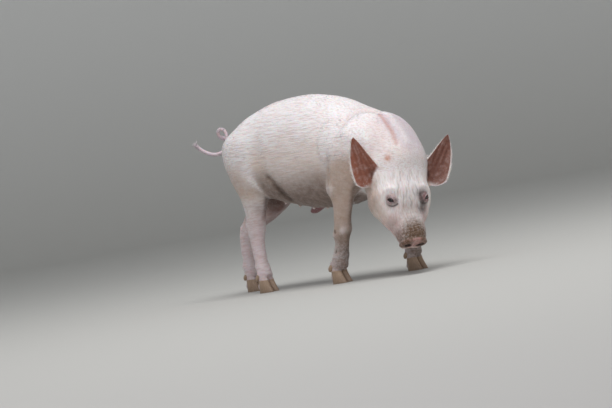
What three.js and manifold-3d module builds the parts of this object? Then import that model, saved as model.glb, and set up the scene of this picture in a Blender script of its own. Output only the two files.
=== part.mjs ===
// A young white pig standing with its head lowered to the ground, life size.
// Millimetres, +Z up. The pig faces -Y and its left side is +X. The floor is z = 0.
import * as THREE from 'three';
import { mergeVertices } from 'three/addons/utils/BufferGeometryUtils.js';
import Module from 'manifold-3d';

// ---------------------------------------------------------------- driving dimensions
const PART_GAP = 0.3;          // clearance kept between neighbouring parts
const REACH = 900;             // side of the blocks that halve a solid, larger than the pig
const LEFT = 1;
const RIGHT = -1;

const NECK_CUT = { point: [268, 0, 272], turn: -6, drop: 26 };       // between trunk and neck
const HEAD_CUT = { point: [316, -23, 226], turn: -20, drop: 42 };    // between neck and head
const HEAD_ORIGIN = [321, -27, 238];                         // centre of the skull's back end
const HEAD_TURN = -27;         // degrees, to the pig's right
const HEAD_TILT = -5;          // degrees, left ear lower
const HEAD_DROP = 66;          // degrees that the nose points below level
const SNOUT_CUT = 144;         // start of the snout along the head
const JAW_BACK = 88;           // back end of the parted lower jaw
const MOUTH_DROP = -17;        // height of the mouth line below the head's axis
const NOSTRIL = { ahead: 189, side: 14.5, rise: -1.5, half: [4, 6.5, 7.5] };

const EYE_RADIUS = 10.5;
const EYE = { ahead: 90, side: 37, rise: 28 };

// A claw stands on its sole and narrows upwards to the coronet, where the skin begins.
const CLAW = {
  height: 29, cleft: 0.9, splay: 0.07, side: 9.4,
  halfWidth: { sole: 11.2, middle: 10.6, coronet: 9.6 },
  toe: { sole: 25, middle: 18, coronet: 11 },
  heel: { sole: 17, middle: 17, coronet: 16 },
};
const DEWCLAW = { radius: 6, tip: 3.3, side: 13, back: 11, height: 40, drop: 11, reach: 9 };

const COLOURS = {
  flesh: 0xe8c4b2,
  ear: 0xd9a08c,
  snout: 0xc98f7e,
  hoof: 0xb39a82,
  eye: 0x2b2a30,
};

// ---------------------------------------------------------------- frames and helpers
const wasm = await Module();
wasm.setup();

const rad = THREE.MathUtils.degToRad;
const SIDEWAYS = new THREE.Vector3(1, 0, 0);

// A point given as distance ahead, to the left and above the floor.
function at(ahead, left, height) {
  return new THREE.Vector3(left, -ahead, height);
}

// Turns a geometry into a solid: only positions are kept and shared vertices are merged.
function solidOf(geometry) {
  geometry.deleteAttribute('normal');
  geometry.deleteAttribute('uv');
  const merged = mergeVertices(geometry, 1e-3);
  return new wasm.Manifold(new wasm.Mesh({
    numProp: 3,
    vertProperties: Float32Array.from(merged.attributes.position.array),
    triVerts: Uint32Array.from(merged.index.array),
  }));
}

// Half-ellipse profile that closes a loft at both ends; dome lengths are shares of the spine.
function domeAt(t, domeStart, domeEnd) {
  if (t < domeStart) return Math.sqrt(1 - (1 - t / domeStart) ** 2);
  if (t > 1 - domeEnd) return Math.sqrt(Math.max(0, 1 - ((t - 1 + domeEnd) / domeEnd) ** 2));
  return 1;
}

// A sphere drawn out along a smooth spine. Each station is
// [ahead, left, height, half width, half depth on the top or front, half depth below or behind].
function loft(stations, options) {
  const { around, along, domeStart = 0.2, domeEnd = 0.2, power = 2, grow = 0, side = SIDEWAYS } = options;
  const spine = new THREE.CatmullRomCurve3(stations.map((s) => at(s[0], s[1], s[2])));
  const sizes = new THREE.CatmullRomCurve3(stations.map((s) => new THREE.Vector3(s[3], s[4], s[5])));
  const geometry = new THREE.SphereGeometry(1, around, along);
  const position = geometry.attributes.position;
  const unit = new THREE.Vector3();
  for (let i = 0; i < position.count; i += 1) {
    unit.fromBufferAttribute(position, i);
    const t = THREE.MathUtils.clamp((1 - unit.y) / 2, 0, 1);
    const angle = Math.atan2(unit.z, unit.x);
    const c = Math.cos(angle);
    const s = Math.sin(angle);
    const square = (Math.abs(c) ** power + Math.abs(s) ** power) ** (-1 / power);
    const size = sizes.getPoint(t);
    const dome = domeAt(t, domeStart, domeEnd);
    const ahead = spine.getTangent(t);
    const across = side.clone().addScaledVector(ahead, -side.dot(ahead)).normalize();
    const rise = new THREE.Vector3().crossVectors(ahead, across);
    const halfAcross = (size.x + grow) * dome * square;
    const halfRise = ((s > 0 ? size.y : size.z) + grow) * dome * square;
    const end = grow * (t < 0.5 ? dome - 1 : 1 - dome);
    const point = spine.getPoint(t).addScaledVector(across, c * halfAcross);
    point.addScaledVector(rise, s * halfRise).addScaledVector(ahead, end);
    position.setXYZ(i, point.x, point.y, point.z);
  }
  return geometry;
}

// The solid on the side of a plane that its normal points to, as a large block.
function blockBeyond(point, normal, gap = PART_GAP / 2) {
  const block = new THREE.BoxGeometry(REACH, REACH, REACH);
  const turn = new THREE.Quaternion().setFromUnitVectors(new THREE.Vector3(0, 0, 1), normal);
  block.applyQuaternion(turn);
  const centre = point.clone().addScaledVector(normal, REACH / 2 + gap);
  return solidOf(block.translate(centre.x, centre.y, centre.z));
}

const group = new THREE.Group();

// Adds a solid to the model as a named mesh.
function addPart(name, solid, colour, roughness) {
  const mesh = solid.getMesh();
  const geometry = new THREE.BufferGeometry();
  geometry.setAttribute('position', new THREE.BufferAttribute(mesh.vertProperties, 3));
  geometry.setIndex(new THREE.BufferAttribute(mesh.triVerts, 1));
  geometry.computeVertexNormals();
  const material = new THREE.MeshStandardMaterial({ color: colour, roughness, metalness: 0 });
  const part = new THREE.Mesh(geometry, material);
  part.name = name;
  group.add(part);
}

// ---------------------------------------------------------------- trunk and neck
const TRUNK = [
  [-188, 0, 344, 78, 60, 70],
  [-145, 0, 334, 86, 75, 84],
  [-90, 0, 326, 99, 102, 106],
  [-34, 0, 321, 106, 120, 118],
  [16, 0, 316, 109, 128, 127],
  [76, 0, 309, 110, 133, 134],
  [136, 0, 300, 109, 129, 132],
  [190, 0, 288, 105, 117, 120],
  [234, 0, 279, 97, 106, 98],
  [270, 0, 272, 82, 92, 78],
  [300, -2, 262, 60, 68, 60],
];

const SHEATH = [
  [70, 0, 188, 9.5, 9.5, 9.5],
  [44, 0, 178, 11, 11, 10],
  [20, 0, 170, 9, 9, 7],
];

const NECK = [
  [220, 0, 286, 84, 94, 82],
  [263, -2, 276, 87, 101, 84],
  [298, -11, 253, 79, 92, 80],
  [321, -21, 230, 73, 80, 72],
  [336, -30, 198, 64, 64, 60],
];

// ---------------------------------------------------------------- head
// In the head's own frame -Y runs to the nose, +X to its left and +Z out of the forehead.
const headPlace = new THREE.Matrix4().makeTranslation(at(...HEAD_ORIGIN))
  .multiply(new THREE.Matrix4().makeRotationZ(rad(HEAD_TURN)))
  .multiply(new THREE.Matrix4().makeRotationY(rad(-HEAD_TILT)))
  .multiply(new THREE.Matrix4().makeRotationX(rad(HEAD_DROP)));

const HEAD = [
  [-32, 0, -6, 46, 34, 46],
  [0, 0, -4, 62, 48, 66],
  [34, 0, -4, 70, 54, 76],
  [64, 0, -5, 72, 54, 78],
  [90, 0, -6, 67, 46, 72],
  [114, 0, -6, 54, 37, 58],
  [138, 0, -3, 42, 32, 42],
  [162, 0, 0, 35, 30, 34],
  [182, 0, -1.4, 32, 29, 29],
  [190, 0, -2.4, 30, 28, 28],
];

// Trunk, sheath, neck and head as one solid, before it is parted.
function bodySolid(grow = 0) {
  const trunk = loft(TRUNK, { around: 24, along: 16, domeStart: 0.17, domeEnd: 0.14, power: 2.15, grow });
  const sheath = loft(SHEATH, { around: 8, along: 6, domeStart: 0.3, domeEnd: 0.4, grow });
  const neck = loft(NECK, { around: 22, along: 10, domeStart: 0.3, domeEnd: 0.3, power: 2.1, grow });
  const head = loft(HEAD, { around: 22, along: 20, domeStart: 0.16, domeEnd: 0.03, power: 2.15, grow });
  head.applyMatrix4(headPlace);
  return solidOf(trunk).add(solidOf(sheath)).add(solidOf(neck)).add(solidOf(head));
}

// A point, direction or loft of the head's frame moved to its place on the pig.
function onHead(ahead, left, rise) {
  return at(ahead, left, rise).applyMatrix4(headPlace);
}
const towardsNose = at(1, 0, 0).transformDirection(headPlace);
const outOfForehead = at(0, 0, 1).transformDirection(headPlace);

function ellipsoidOnHead({ ahead, side, rise, half }, hand) {
  const shape = new THREE.SphereGeometry(1, 10, 6).scale(half[0], half[2], half[1]);
  const centre = at(ahead, hand * side, rise);
  return solidOf(shape.translate(centre.x, centre.y, centre.z).applyMatrix4(headPlace));
}

function eyeball(hand, grow = 0) {
  const centre = onHead(EYE.ahead, hand * EYE.side, EYE.rise);
  const ball = new THREE.SphereGeometry(EYE_RADIUS + grow, 10, 7);
  return solidOf(ball.translate(centre.x, centre.y, centre.z));
}

// ---------------------------------------------------------------- ears
// A leaf cupped towards the front: its outer edge is full, its inner edge runs straighter to the
// tip. The root lies inside the head and is cut away there.
const EAR = {
  outer: 41, inner: 30, base: 14,              // half widths to the outer and inner edge, and the root's
  opens: 0.22, openPower: 0.6,                 // share of the length in which the root widens
  outerPower: 2.6, innerPower: 0.75, basePower: 4,
  thickness: 3.4, rootThickness: 1.6,
  cup: 13, hollow: 36, level: 0.3, flattening: 0.4, curl: 8,
};

// Half widths of the ear at a share t of its length, to the outer and to the inner edge.
function earEdges(t) {
  const open = Math.sin((Math.PI / 2) * Math.min(1, t / EAR.opens)) ** EAR.openPower;
  const outer = EAR.outer * (1 - t ** EAR.outerPower) * open;
  const inner = (EAR.inner * (1 - t) ** EAR.innerPower + EAR.base * (1 - t) ** EAR.basePower) * open;
  return { outer, inner };
}

function earLeaf(root, tip, opening, hand) {
  const leaf = new THREE.SphereGeometry(1, 12, 10);
  const rise = tip.clone().sub(root).normalize();
  const across = new THREE.Vector3().crossVectors(rise, opening).normalize();
  const face = new THREE.Vector3().crossVectors(across, rise);
  const outwards = across.x * hand > 0 ? 1 : -1;
  const length = tip.distanceTo(root);
  const position = leaf.attributes.position;
  const unit = new THREE.Vector3();
  for (let i = 0; i < position.count; i += 1) {
    unit.fromBufferAttribute(position, i);
    const t = THREE.MathUtils.clamp((1 + unit.y) / 2, 0, 1);
    const angle = Math.atan2(unit.z, unit.x);
    const edges = earEdges(t);
    const share = Math.cos(angle) * outwards;
    const side = share * (share > 0 ? edges.outer : edges.inner);
    const edgeThinning = Math.sin(angle) * Math.min(1, edges.outer / (EAR.outer / 2));
    const bowl = EAR.cup * ((side / EAR.hollow) ** 2 - EAR.level) * (1 - EAR.flattening * t);
    const point = root.clone().addScaledVector(rise, t * length);
    point.addScaledVector(across, side * outwards);
    const half = (EAR.thickness / 2) * (EAR.rootThickness - t) * edgeThinning;
    point.addScaledVector(face, bowl + EAR.curl * t * t + half);
    position.setXYZ(i, point.x, point.y, point.z);
  }
  return solidOf(leaf);
}

// ---------------------------------------------------------------- legs
// Stations run down the leg; the depths are in front of and behind its middle line.
const LEGS = {
  foreleg_right: {
    side: RIGHT,
    foot: [134, -60],
    stations: [
      [246, -40, 350, 26, 36, 36],
      [240, -66, 308, 41, 62, 60],
      [222, -76, 256, 36, 56, 52],
      [198, -75, 206, 26, 34, 38],
      [181, -68, 162, 21, 23, 23],
      [164, -64, 110, 18.5, 19.5, 19.5],
      [150, -62, 70, 18.5, 18.5, 18.5],
      [141, -61, 44, 20, 19, 20],
      [138, -60, 16, 18, 20, 16],
    ],
  },
  foreleg_left: {
    side: LEFT,
    foot: [262, 60],
    stations: [
      [242, 40, 350, 26, 36, 36],
      [242, 66, 308, 41, 60, 62],
      [246, 75, 256, 36, 54, 54],
      [252, 73, 206, 26, 36, 38],
      [256, 67, 162, 21, 23, 23],
      [258, 64, 110, 18.5, 19.5, 19.5],
      [259, 62, 70, 18.5, 18.5, 18.5],
      [262, 61, 44, 20, 19, 20],
      [266, 60, 16, 18, 20, 16],
    ],
  },
  hindleg_right: {
    side: RIGHT,
    foot: [-110, -52],
    stations: [
      [-88, -38, 384, 24, 34, 32],
      [-92, -60, 345, 42, 70, 70],
      [-88, -66, 288, 38, 56, 60],
      [-94, -60, 234, 31, 40, 43],
      [-108, -52, 192, 24, 29, 30],
      [-120, -46, 154, 20, 25, 24],
      [-123, -47, 106, 16.5, 18, 19],
      [-118, -50, 66, 16.5, 17, 17],
      [-112, -51, 42, 18, 18, 19],
      [-108, -52, 16, 17, 20, 16],
    ],
  },
  hindleg_left: {
    side: LEFT,
    foot: [-244, 44],
    stations: [
      [-88, 38, 384, 24, 34, 32],
      [-92, 60, 345, 42, 70, 70],
      [-98, 64, 290, 38, 62, 60],
      [-120, 57, 244, 31, 54, 46],
      [-162, 50, 204, 25, 42, 33],
      [-216, 44, 168, 20, 30, 24],
      [-244, 42, 126, 17, 19, 19],
      [-250, 43, 80, 16.5, 17, 17],
      [-248, 44, 46, 18, 18, 19],
      [-242, 44, 16, 17, 20, 16],
    ],
  },
};

function legSolid(leg, grow = 0) {
  return solidOf(loft(leg.stations, { around: 12, along: 16, domeStart: 0.12, domeEnd: 0.05, grow }));
}

// One claw of a cloven foot, cut flat on the floor and along the cleft.
function claw(foot, hand, grow = 0) {
  const [ahead, left] = foot;
  const side = left + hand * CLAW.side;
  const { height, halfWidth, toe, heel } = CLAW;
  const stations = [
    [ahead, side, height, halfWidth.coronet, toe.coronet, heel.coronet],
    [ahead, side, height / 2, halfWidth.middle, toe.middle, heel.middle],
    [ahead, side, 0, halfWidth.sole, toe.sole, heel.sole],
    [ahead, side, -height / 2, halfWidth.sole, toe.sole, heel.sole],
  ];
  const horn = solidOf(loft(stations, { around: 10, along: 6, domeStart: 0.12, domeEnd: 0.1, grow }));
  const cleft = at(-CLAW.splay, hand, 0).normalize();
  const inner = blockBeyond(at(ahead, left + hand * (CLAW.cleft - grow), 0), cleft, 0);
  const floor = blockBeyond(at(0, 0, 0), new THREE.Vector3(0, 0, 1), 0);
  return horn.intersect(inner).intersect(floor);
}

function dewclaw(foot, hand, grow = 0) {
  const [ahead, left] = foot;
  const { radius, tip, side, back, height, drop, reach } = DEWCLAW;
  const outer = left + hand * side;
  const stations = [
    [ahead - back + radius, outer - hand * 2, height + radius, radius, radius, radius],
    [ahead - back - reach / 2, outer, height - drop / 3, radius, radius, radius],
    [ahead - back - reach, outer, height - drop, tip, tip, tip],
  ];
  return solidOf(loft(stations, { around: 7, along: 4, domeStart: 0.3, domeEnd: 0.3, grow }));
}

// ---------------------------------------------------------------- tail
// One tight curl beside the root, then a drop and a long sweep back and up to the tip.
const TAIL = [
  [-166, 6, 370, 11, 11, 11],
  [-183, 2, 369, 9, 9, 9],
  [-196, -3, 372, 7.2, 7.2, 7.2],
  [-204, -12, 376, 6, 6, 6],
  [-209, -22, 382, 5.2, 5.2, 5.2],
  [-209, -28, 393, 4.9, 4.9, 4.9],
  [-203, -28, 400, 4.8, 4.8, 4.8],
  [-195, -24, 399, 4.7, 4.7, 4.7],
  [-189, -22, 389, 4.7, 4.7, 4.7],
  [-188, -24, 374, 4.7, 4.7, 4.7],
  [-192, -27, 359, 4.9, 4.9, 4.9],
  [-198, -32, 348, 5.1, 5.1, 5.1],
  [-209, -39, 343, 5.2, 5.2, 5.2],
  [-223, -47, 345, 5.2, 5.2, 5.2],
  [-238, -55, 354, 5, 5, 5],
  [-250, -61, 366, 4.6, 4.6, 4.6],
  [-259, -64, 379, 3.4, 3.4, 3.4],
];
const TAIL_SIDE = new THREE.Vector3(0.75, -0.66, 0);
function tailSolid(grow = 0) {
  return solidOf(loft(TAIL, { around: 6, along: 38, domeStart: 0.05, domeEnd: 0.05, side: TAIL_SIDE, grow }));
}

// ---------------------------------------------------------------- parting the body
function halves(cut) {
  const level = Math.cos(rad(cut.drop));
  const turn = rad(cut.turn);
  const normal = at(level * Math.cos(turn), level * Math.sin(turn), -Math.sin(rad(cut.drop)));
  const point = at(...cut.point);
  return { before: blockBeyond(point, normal.clone().negate()), beyond: blockBeyond(point, normal) };
}
const neckCut = halves(NECK_CUT);
const headCut = halves(HEAD_CUT);

const flesh = bodySolid();
let trunk = flesh.intersect(neckCut.before);
let neck = flesh.intersect(neckCut.beyond).intersect(headCut.before);
let head = flesh.intersect(neckCut.beyond).intersect(headCut.beyond);

trunk = trunk.subtract(tailSolid(PART_GAP));
addPart('tail', tailSolid(), COLOURS.flesh, 0.7);

for (const [name, leg] of Object.entries(LEGS)) {
  const place = name.replace('leg_', '_');
  let limb = legSolid(leg);
  const socket = legSolid(leg, PART_GAP);
  trunk = trunk.subtract(socket);
  neck = neck.subtract(socket);
  head = head.subtract(socket);
  for (const [word, hand] of [['inner', -leg.side], ['outer', leg.side]]) {
    addPart(`claw_${place}_${word}`, claw(leg.foot, hand), COLOURS.hoof, 0.6);
    addPart(`dewclaw_${place}_${word}`, dewclaw(leg.foot, hand), COLOURS.hoof, 0.6);
    limb = limb.subtract(claw(leg.foot, hand, PART_GAP)).subtract(dewclaw(leg.foot, hand, PART_GAP));
  }
  addPart(name, limb, COLOURS.flesh, 0.7);
}

for (const [name, hand] of [['left', LEFT], ['right', RIGHT]]) {
  addPart(`eye_${name}`, eyeball(hand), COLOURS.eye, 0.1);
  head = head.subtract(eyeball(hand, PART_GAP));
}

// Ears stand on the sides of the crown and open forwards.
const EARS = {
  ear_right: { hand: RIGHT, root: [44, -58, 10], tip: [-66, -101, 50], opening: [0.2, -0.45, 0.85] },
  ear_left: { hand: LEFT, root: [50, 62, 9], tip: [-58, 134, 39], opening: [0.25, -0.2, 0.9] },
};
const earSocket = bodySolid(PART_GAP);
for (const [name, ear] of Object.entries(EARS)) {
  const root = onHead(...ear.root);
  const tip = onHead(...ear.tip);
  const opening = at(...ear.opening).transformDirection(headPlace);
  addPart(name, earLeaf(root, tip, opening, ear.hand).subtract(earSocket), COLOURS.ear, 0.65);
}

const snoutBlock = blockBeyond(onHead(SNOUT_CUT, 0, 0), towardsNose);
const faceBlock = blockBeyond(onHead(SNOUT_CUT, 0, 0), towardsNose.clone().negate());
const upperBlock = blockBeyond(onHead(0, 0, MOUTH_DROP), outOfForehead);
const lowerBlock = blockBeyond(onHead(0, 0, MOUTH_DROP), outOfForehead.clone().negate());
const jawBlock = blockBeyond(onHead(JAW_BACK, 0, 0), towardsNose);
const skullBlock = blockBeyond(onHead(JAW_BACK, 0, 0), towardsNose.clone().negate());

for (const hand of [LEFT, RIGHT]) head = head.subtract(ellipsoidOnHead(NOSTRIL, hand));
const jaw = head.intersect(lowerBlock).intersect(jawBlock);
const face = head.intersect(upperBlock).add(head.intersect(skullBlock));
addPart('jaw', jaw, COLOURS.flesh, 0.7);
addPart('snout', face.intersect(snoutBlock), COLOURS.snout, 0.5);
addPart('head', face.intersect(faceBlock), COLOURS.flesh, 0.7);
addPart('neck', neck, COLOURS.flesh, 0.7);
addPart('trunk', trunk, COLOURS.flesh, 0.7);

// The origin is the middle of the footprint, on the floor.
const extent = new THREE.Box3().setFromObject(group);
const middle = extent.getCenter(new THREE.Vector3());
group.position.set(-middle.x, -middle.y, -extent.min.z);
group.updateMatrixWorld(true);

export default group;
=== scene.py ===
"""A young white pig with its snout lowered to the ground: one skin with lids, nostrils, folds
and teats, a coat of solid bristles, glossy eyes and worn hooves, in a pale studio.

Shapes are worked out in millimetres in the pig's own frame (ahead, left, height), put in place
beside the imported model, and written to the meshes in metres."""
import math

import bmesh
import bpy
import numpy as np
import openvdb as vdb
from mathutils import Matrix, Vector


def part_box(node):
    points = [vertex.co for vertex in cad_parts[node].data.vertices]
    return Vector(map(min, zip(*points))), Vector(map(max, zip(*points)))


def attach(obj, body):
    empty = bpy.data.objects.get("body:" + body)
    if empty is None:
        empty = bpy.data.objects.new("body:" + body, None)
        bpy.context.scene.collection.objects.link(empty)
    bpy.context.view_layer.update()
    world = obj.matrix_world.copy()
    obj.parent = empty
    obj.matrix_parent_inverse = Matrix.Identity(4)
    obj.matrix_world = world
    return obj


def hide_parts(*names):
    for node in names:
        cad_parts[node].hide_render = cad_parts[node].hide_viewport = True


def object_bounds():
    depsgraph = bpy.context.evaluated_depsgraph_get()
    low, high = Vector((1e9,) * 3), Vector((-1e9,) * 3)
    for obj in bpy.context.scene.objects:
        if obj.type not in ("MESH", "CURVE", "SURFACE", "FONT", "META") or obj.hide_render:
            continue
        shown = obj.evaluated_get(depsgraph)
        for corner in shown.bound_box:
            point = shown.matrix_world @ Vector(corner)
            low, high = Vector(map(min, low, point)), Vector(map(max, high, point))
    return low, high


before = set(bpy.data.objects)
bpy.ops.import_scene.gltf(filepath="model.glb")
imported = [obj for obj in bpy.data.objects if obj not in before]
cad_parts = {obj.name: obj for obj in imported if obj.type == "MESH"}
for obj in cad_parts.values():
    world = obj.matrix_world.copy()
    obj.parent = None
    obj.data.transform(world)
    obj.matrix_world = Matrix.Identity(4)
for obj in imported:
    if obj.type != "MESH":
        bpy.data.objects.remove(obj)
cad_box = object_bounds()

MM = 0.001
LEFT, RIGHT = 1, -1

# ------------------------------------------------------------------ the pig's measurements, mm
# Each station: ahead, left, height, half width, half depth on top or in front, the same below or behind.
TRUNK = [
    [-188, 0, 344, 78, 60, 70], [-145, 0, 334, 86, 75, 84], [-90, 0, 326, 99, 102, 106],
    [-34, 0, 321, 106, 120, 118], [16, 0, 316, 109, 128, 127], [76, 0, 309, 110, 133, 134],
    [136, 0, 300, 109, 129, 132], [190, 0, 288, 105, 117, 120], [234, 0, 279, 97, 106, 98],
    [270, 0, 272, 82, 92, 78], [300, -2, 262, 60, 68, 60],
]
SHEATH = [[70, 0, 188, 9.5, 9.5, 9.5], [44, 0, 178, 11, 11, 10], [20, 0, 170, 9, 9, 7]]
NECK = [
    [220, 0, 286, 84, 94, 82], [263, -2, 276, 87, 101, 84], [298, -11, 253, 79, 92, 80],
    [321, -21, 230, 73, 80, 72], [336, -30, 198, 64, 64, 60],
]
HEAD = [
    [-32, 0, -6, 46, 34, 46], [0, 0, -4, 62, 48, 66], [34, 0, -4, 70, 54, 76],
    [64, 0, -5, 72, 54, 78], [90, 0, -6, 67, 46, 72], [114, 0, -6, 54, 37, 58],
    [138, 0, -3, 42, 32, 42], [162, 0, 0, 35, 30, 34], [182, 0, -1.4, 32, 29, 29],
    [190, 0, -2.4, 30, 28, 28],
]
HEAD_ORIGIN = (321, -27, 238)      # back of the skull
HEAD_TURN, HEAD_TILT, HEAD_DROP = -27, -5, 66    # degrees: to the right, left ear down, nose down
NOSE_LEAN = 0.125                  # how far the top of the snout's disc leads its foot, per mm of rise
NOSE_MIDDLE = -2.4                 # height of the disc's middle in the head's frame
MOUTH_RISE = -17                   # the mouth line, below the head's axis
NOSTRIL = (14.5, -1.5)             # to the side and up on the disc
EYE = (90, 37, 28)
EYE_RADIUS = 10.5
EARS = {
    "right": dict(hand=RIGHT, root=(44, -58, 10), tip=(-66, -101, 50), opening=(0.2, -0.45, 0.85)),
    "left": dict(hand=LEFT, root=(50, 62, 9), tip=(-58, 134, 39), opening=(0.25, -0.2, 0.9)),
}
EAR_OUTER, EAR_INNER, EAR_BASE, EAR_CUP, EAR_CURL = 41, 30, 14, 13, 8
LEGS = {
    "fore_right": dict(side=RIGHT, foot=(134, -60), stations=[
        [246, -40, 350, 26, 36, 36], [240, -66, 308, 41, 62, 60], [222, -76, 256, 36, 56, 52],
        [198, -75, 206, 26, 34, 38], [181, -68, 162, 21, 23, 23], [164, -64, 110, 18.5, 19.5, 19.5],
        [150, -62, 70, 18.5, 18.5, 18.5], [141, -61, 44, 20, 19, 20], [138, -60, 16, 18, 20, 16]]),
    "fore_left": dict(side=LEFT, foot=(262, 60), stations=[
        [242, 40, 350, 26, 36, 36], [242, 66, 308, 41, 60, 62], [246, 75, 256, 36, 54, 54],
        [252, 73, 206, 26, 36, 38], [256, 67, 162, 21, 23, 23], [258, 64, 110, 18.5, 19.5, 19.5],
        [259, 62, 70, 18.5, 18.5, 18.5], [262, 61, 44, 20, 19, 20], [266, 60, 16, 18, 20, 16]]),
    "hind_right": dict(side=RIGHT, foot=(-110, -52), stations=[
        [-88, -38, 384, 24, 34, 32], [-92, -60, 345, 42, 70, 70], [-88, -66, 288, 38, 56, 60],
        [-94, -60, 234, 31, 40, 43], [-108, -52, 192, 24, 29, 30], [-120, -46, 154, 20, 25, 24],
        [-123, -47, 106, 16.5, 18, 19], [-118, -50, 66, 16.5, 17, 17], [-112, -51, 42, 18, 18, 19],
        [-108, -52, 16, 17, 20, 16]]),
    "hind_left": dict(side=LEFT, foot=(-244, 44), stations=[
        [-88, 38, 384, 24, 34, 32], [-92, 60, 345, 42, 70, 70], [-98, 64, 290, 38, 62, 60],
        [-120, 57, 244, 31, 54, 46], [-162, 50, 204, 25, 42, 33], [-216, 44, 168, 20, 30, 24],
        [-244, 42, 126, 17, 19, 19], [-250, 43, 80, 16.5, 17, 17], [-248, 44, 46, 18, 18, 19],
        [-242, 44, 16, 17, 20, 16]]),
}
TAIL = [
    [-166, 6, 370, 11], [-183, 2, 369, 9], [-196, -3, 372, 7.2], [-204, -12, 376, 6],
    [-209, -22, 382, 5.2], [-209, -28, 393, 4.9], [-203, -28, 400, 4.8], [-195, -24, 399, 4.7],
    [-189, -22, 389, 4.7], [-188, -24, 374, 4.7], [-192, -27, 359, 4.9], [-198, -32, 348, 5.1],
    [-209, -39, 343, 5.2], [-223, -47, 345, 5.2], [-238, -55, 354, 5], [-250, -61, 366, 4.6],
    [-259, -64, 379, 3.4],
]
TAIL_SIDE = (0.75, -0.66, 0)
# A claw narrows upwards from the sole to the coronet, where the skin begins.
CLAW_HEIGHT, CLAW_SIDE, CLAW_CLEFT, CLAW_SPLAY = 29, 9.4, 0.9, 0.07
CLAW_HALF, CLAW_TOE, CLAW_HEEL = (11.2, 9.6), (25, 11), (17, 16)      # at the sole, at the coronet
DEWCLAW = dict(radius=6, tip=3.3, side=13, back=11, height=40, drop=11, reach=9)

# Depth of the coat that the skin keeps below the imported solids.
COAT_BODY, COAT_HEAD, COAT_LEG, COAT_TAIL = 2.2, 1.2, 1.2, 0.5


# ------------------------------------------------------------------ frames
def at(ahead, left, height):
    """The pig's own frame as x, y, z: x is left, y is minus ahead, z is height."""
    return np.stack([np.asarray(left, float), -np.asarray(ahead, float), np.asarray(height, float)], -1)


def turn_matrix(axis, degrees):
    """Rotation about one of the main axes."""
    return np.array(Matrix.Rotation(math.radians(degrees), 3, axis))


HEAD_AXES = turn_matrix("Z", HEAD_TURN) @ turn_matrix("Y", -HEAD_TILT) @ turn_matrix("X", HEAD_DROP)


def on_head(ahead, side, rise):
    """A point of the head's frame, before the whole pig is put in place."""
    return at(*HEAD_ORIGIN) + at(ahead, side, rise) @ HEAD_AXES.T


def along_head(ahead, side, rise):
    """A unit direction of the head's frame."""
    way = at(ahead, side, rise) @ HEAD_AXES.T
    return way / np.linalg.norm(way)


eye_low, eye_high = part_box("eye_left")
packed_eye = (np.array(eye_low) + np.array(eye_high)) / 2 / MM
SHIFT = packed_eye - on_head(*EYE)      # from the pig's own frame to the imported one, mm


def head_places(points):
    """Packed points as distance ahead, to the side and out of the forehead, in the head's frame."""
    local = (points - SHIFT - at(*HEAD_ORIGIN)) @ HEAD_AXES
    return -local[:, 1], local[:, 0], local[:, 2]


def own_places(points):
    """Packed points as distance ahead, left and height in the pig's own frame."""
    local = points - SHIFT
    return -local[:, 1], local[:, 0], local[:, 2]


# ------------------------------------------------------------------ camera
CAMERA_TARGET = at(-22.7, 34.0, 190.0) + SHIFT
CAMERA_BACK = Vector((-0.731, -0.682, 0.017))
CAMERA_UP = Vector((0.131, -0.115, 0.985))
CAMERA_DISTANCE = 6.0
LENS = 149.0                       # mm, before a sensor 36 mm wide


def in_scene(name, data):
    """A new object of the scene with this data."""
    thing = bpy.data.objects.new(name, data)
    bpy.context.scene.collection.objects.link(thing)
    return thing


def make_camera():
    """A long lens level with the pig's flank, rolled so that the ground seems to rise to the right."""
    data = bpy.data.cameras.new("camera")
    data.lens = LENS
    data.sensor_width = 36.0
    data.clip_end = 60.0
    camera = in_scene("camera", data)
    back = CAMERA_BACK.normalized()
    right = CAMERA_UP.cross(back).normalized()
    up = back.cross(right)
    spot = Vector((CAMERA_TARGET * MM).tolist()) + back * CAMERA_DISTANCE
    axes = Matrix((right, up, back)).transposed().to_4x4()
    camera.matrix_world = Matrix.Translation(spot) @ axes
    bpy.context.scene.camera = camera


make_camera()


# ------------------------------------------------------------------ small helpers
def smooth(x, low, high):
    """0 below low, 1 above high, an S curve between."""
    t = np.clip((x - low) / (high - low), 0, 1)
    return t * t * (3 - 2 * t)


def hump(x, centre, width):
    """A bell of height 1."""
    return np.exp(-((x - centre) / width) ** 2)


def unit(vectors):
    """Vectors scaled to length 1."""
    return vectors / np.maximum(np.linalg.norm(vectors, axis=-1, keepdims=True), 1e-9)


def far_from(points, spot):
    """Distance of each point from the spot."""
    return np.linalg.norm(points - spot, axis=-1)


def spline(points, t):
    """Centripetal Catmull-Rom curve through the points, t from 0 at the first to 1 at the last."""
    points = np.asarray(points, float)
    last = len(points) - 1
    control = np.vstack([2 * points[:1] - points[1:2], points, 2 * points[-1:] - points[-2:-1]])
    place = np.clip(t, 0, 1) * last
    span = np.minimum(place.astype(int), last - 1)
    w = (place - span)[:, None]
    p0, p1, p2, p3 = (control[span + i] for i in range(4))
    d0, d1, d2 = (np.sqrt(far_from(b, a))[:, None] for a, b in ((p0, p1), (p1, p2), (p2, p3)))
    d1 = np.where(d1 < 1e-4, 1, d1)
    d0 = np.where(d0 < 1e-4, d1, d0)
    d2 = np.where(d2 < 1e-4, d1, d2)
    t1 = ((p1 - p0) / d0 - (p2 - p0) / (d0 + d1) + (p2 - p1) / d1) * d1
    t2 = ((p2 - p1) / d1 - (p3 - p1) / (d1 + d2) + (p3 - p2) / d2) * d1
    c2 = -3 * p1 + 3 * p2 - 2 * t1 - t2
    c3 = 2 * p1 - 2 * p2 + t1 + t2
    return p1 + t1 * w + c2 * w ** 2 + c3 * w ** 3


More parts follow.
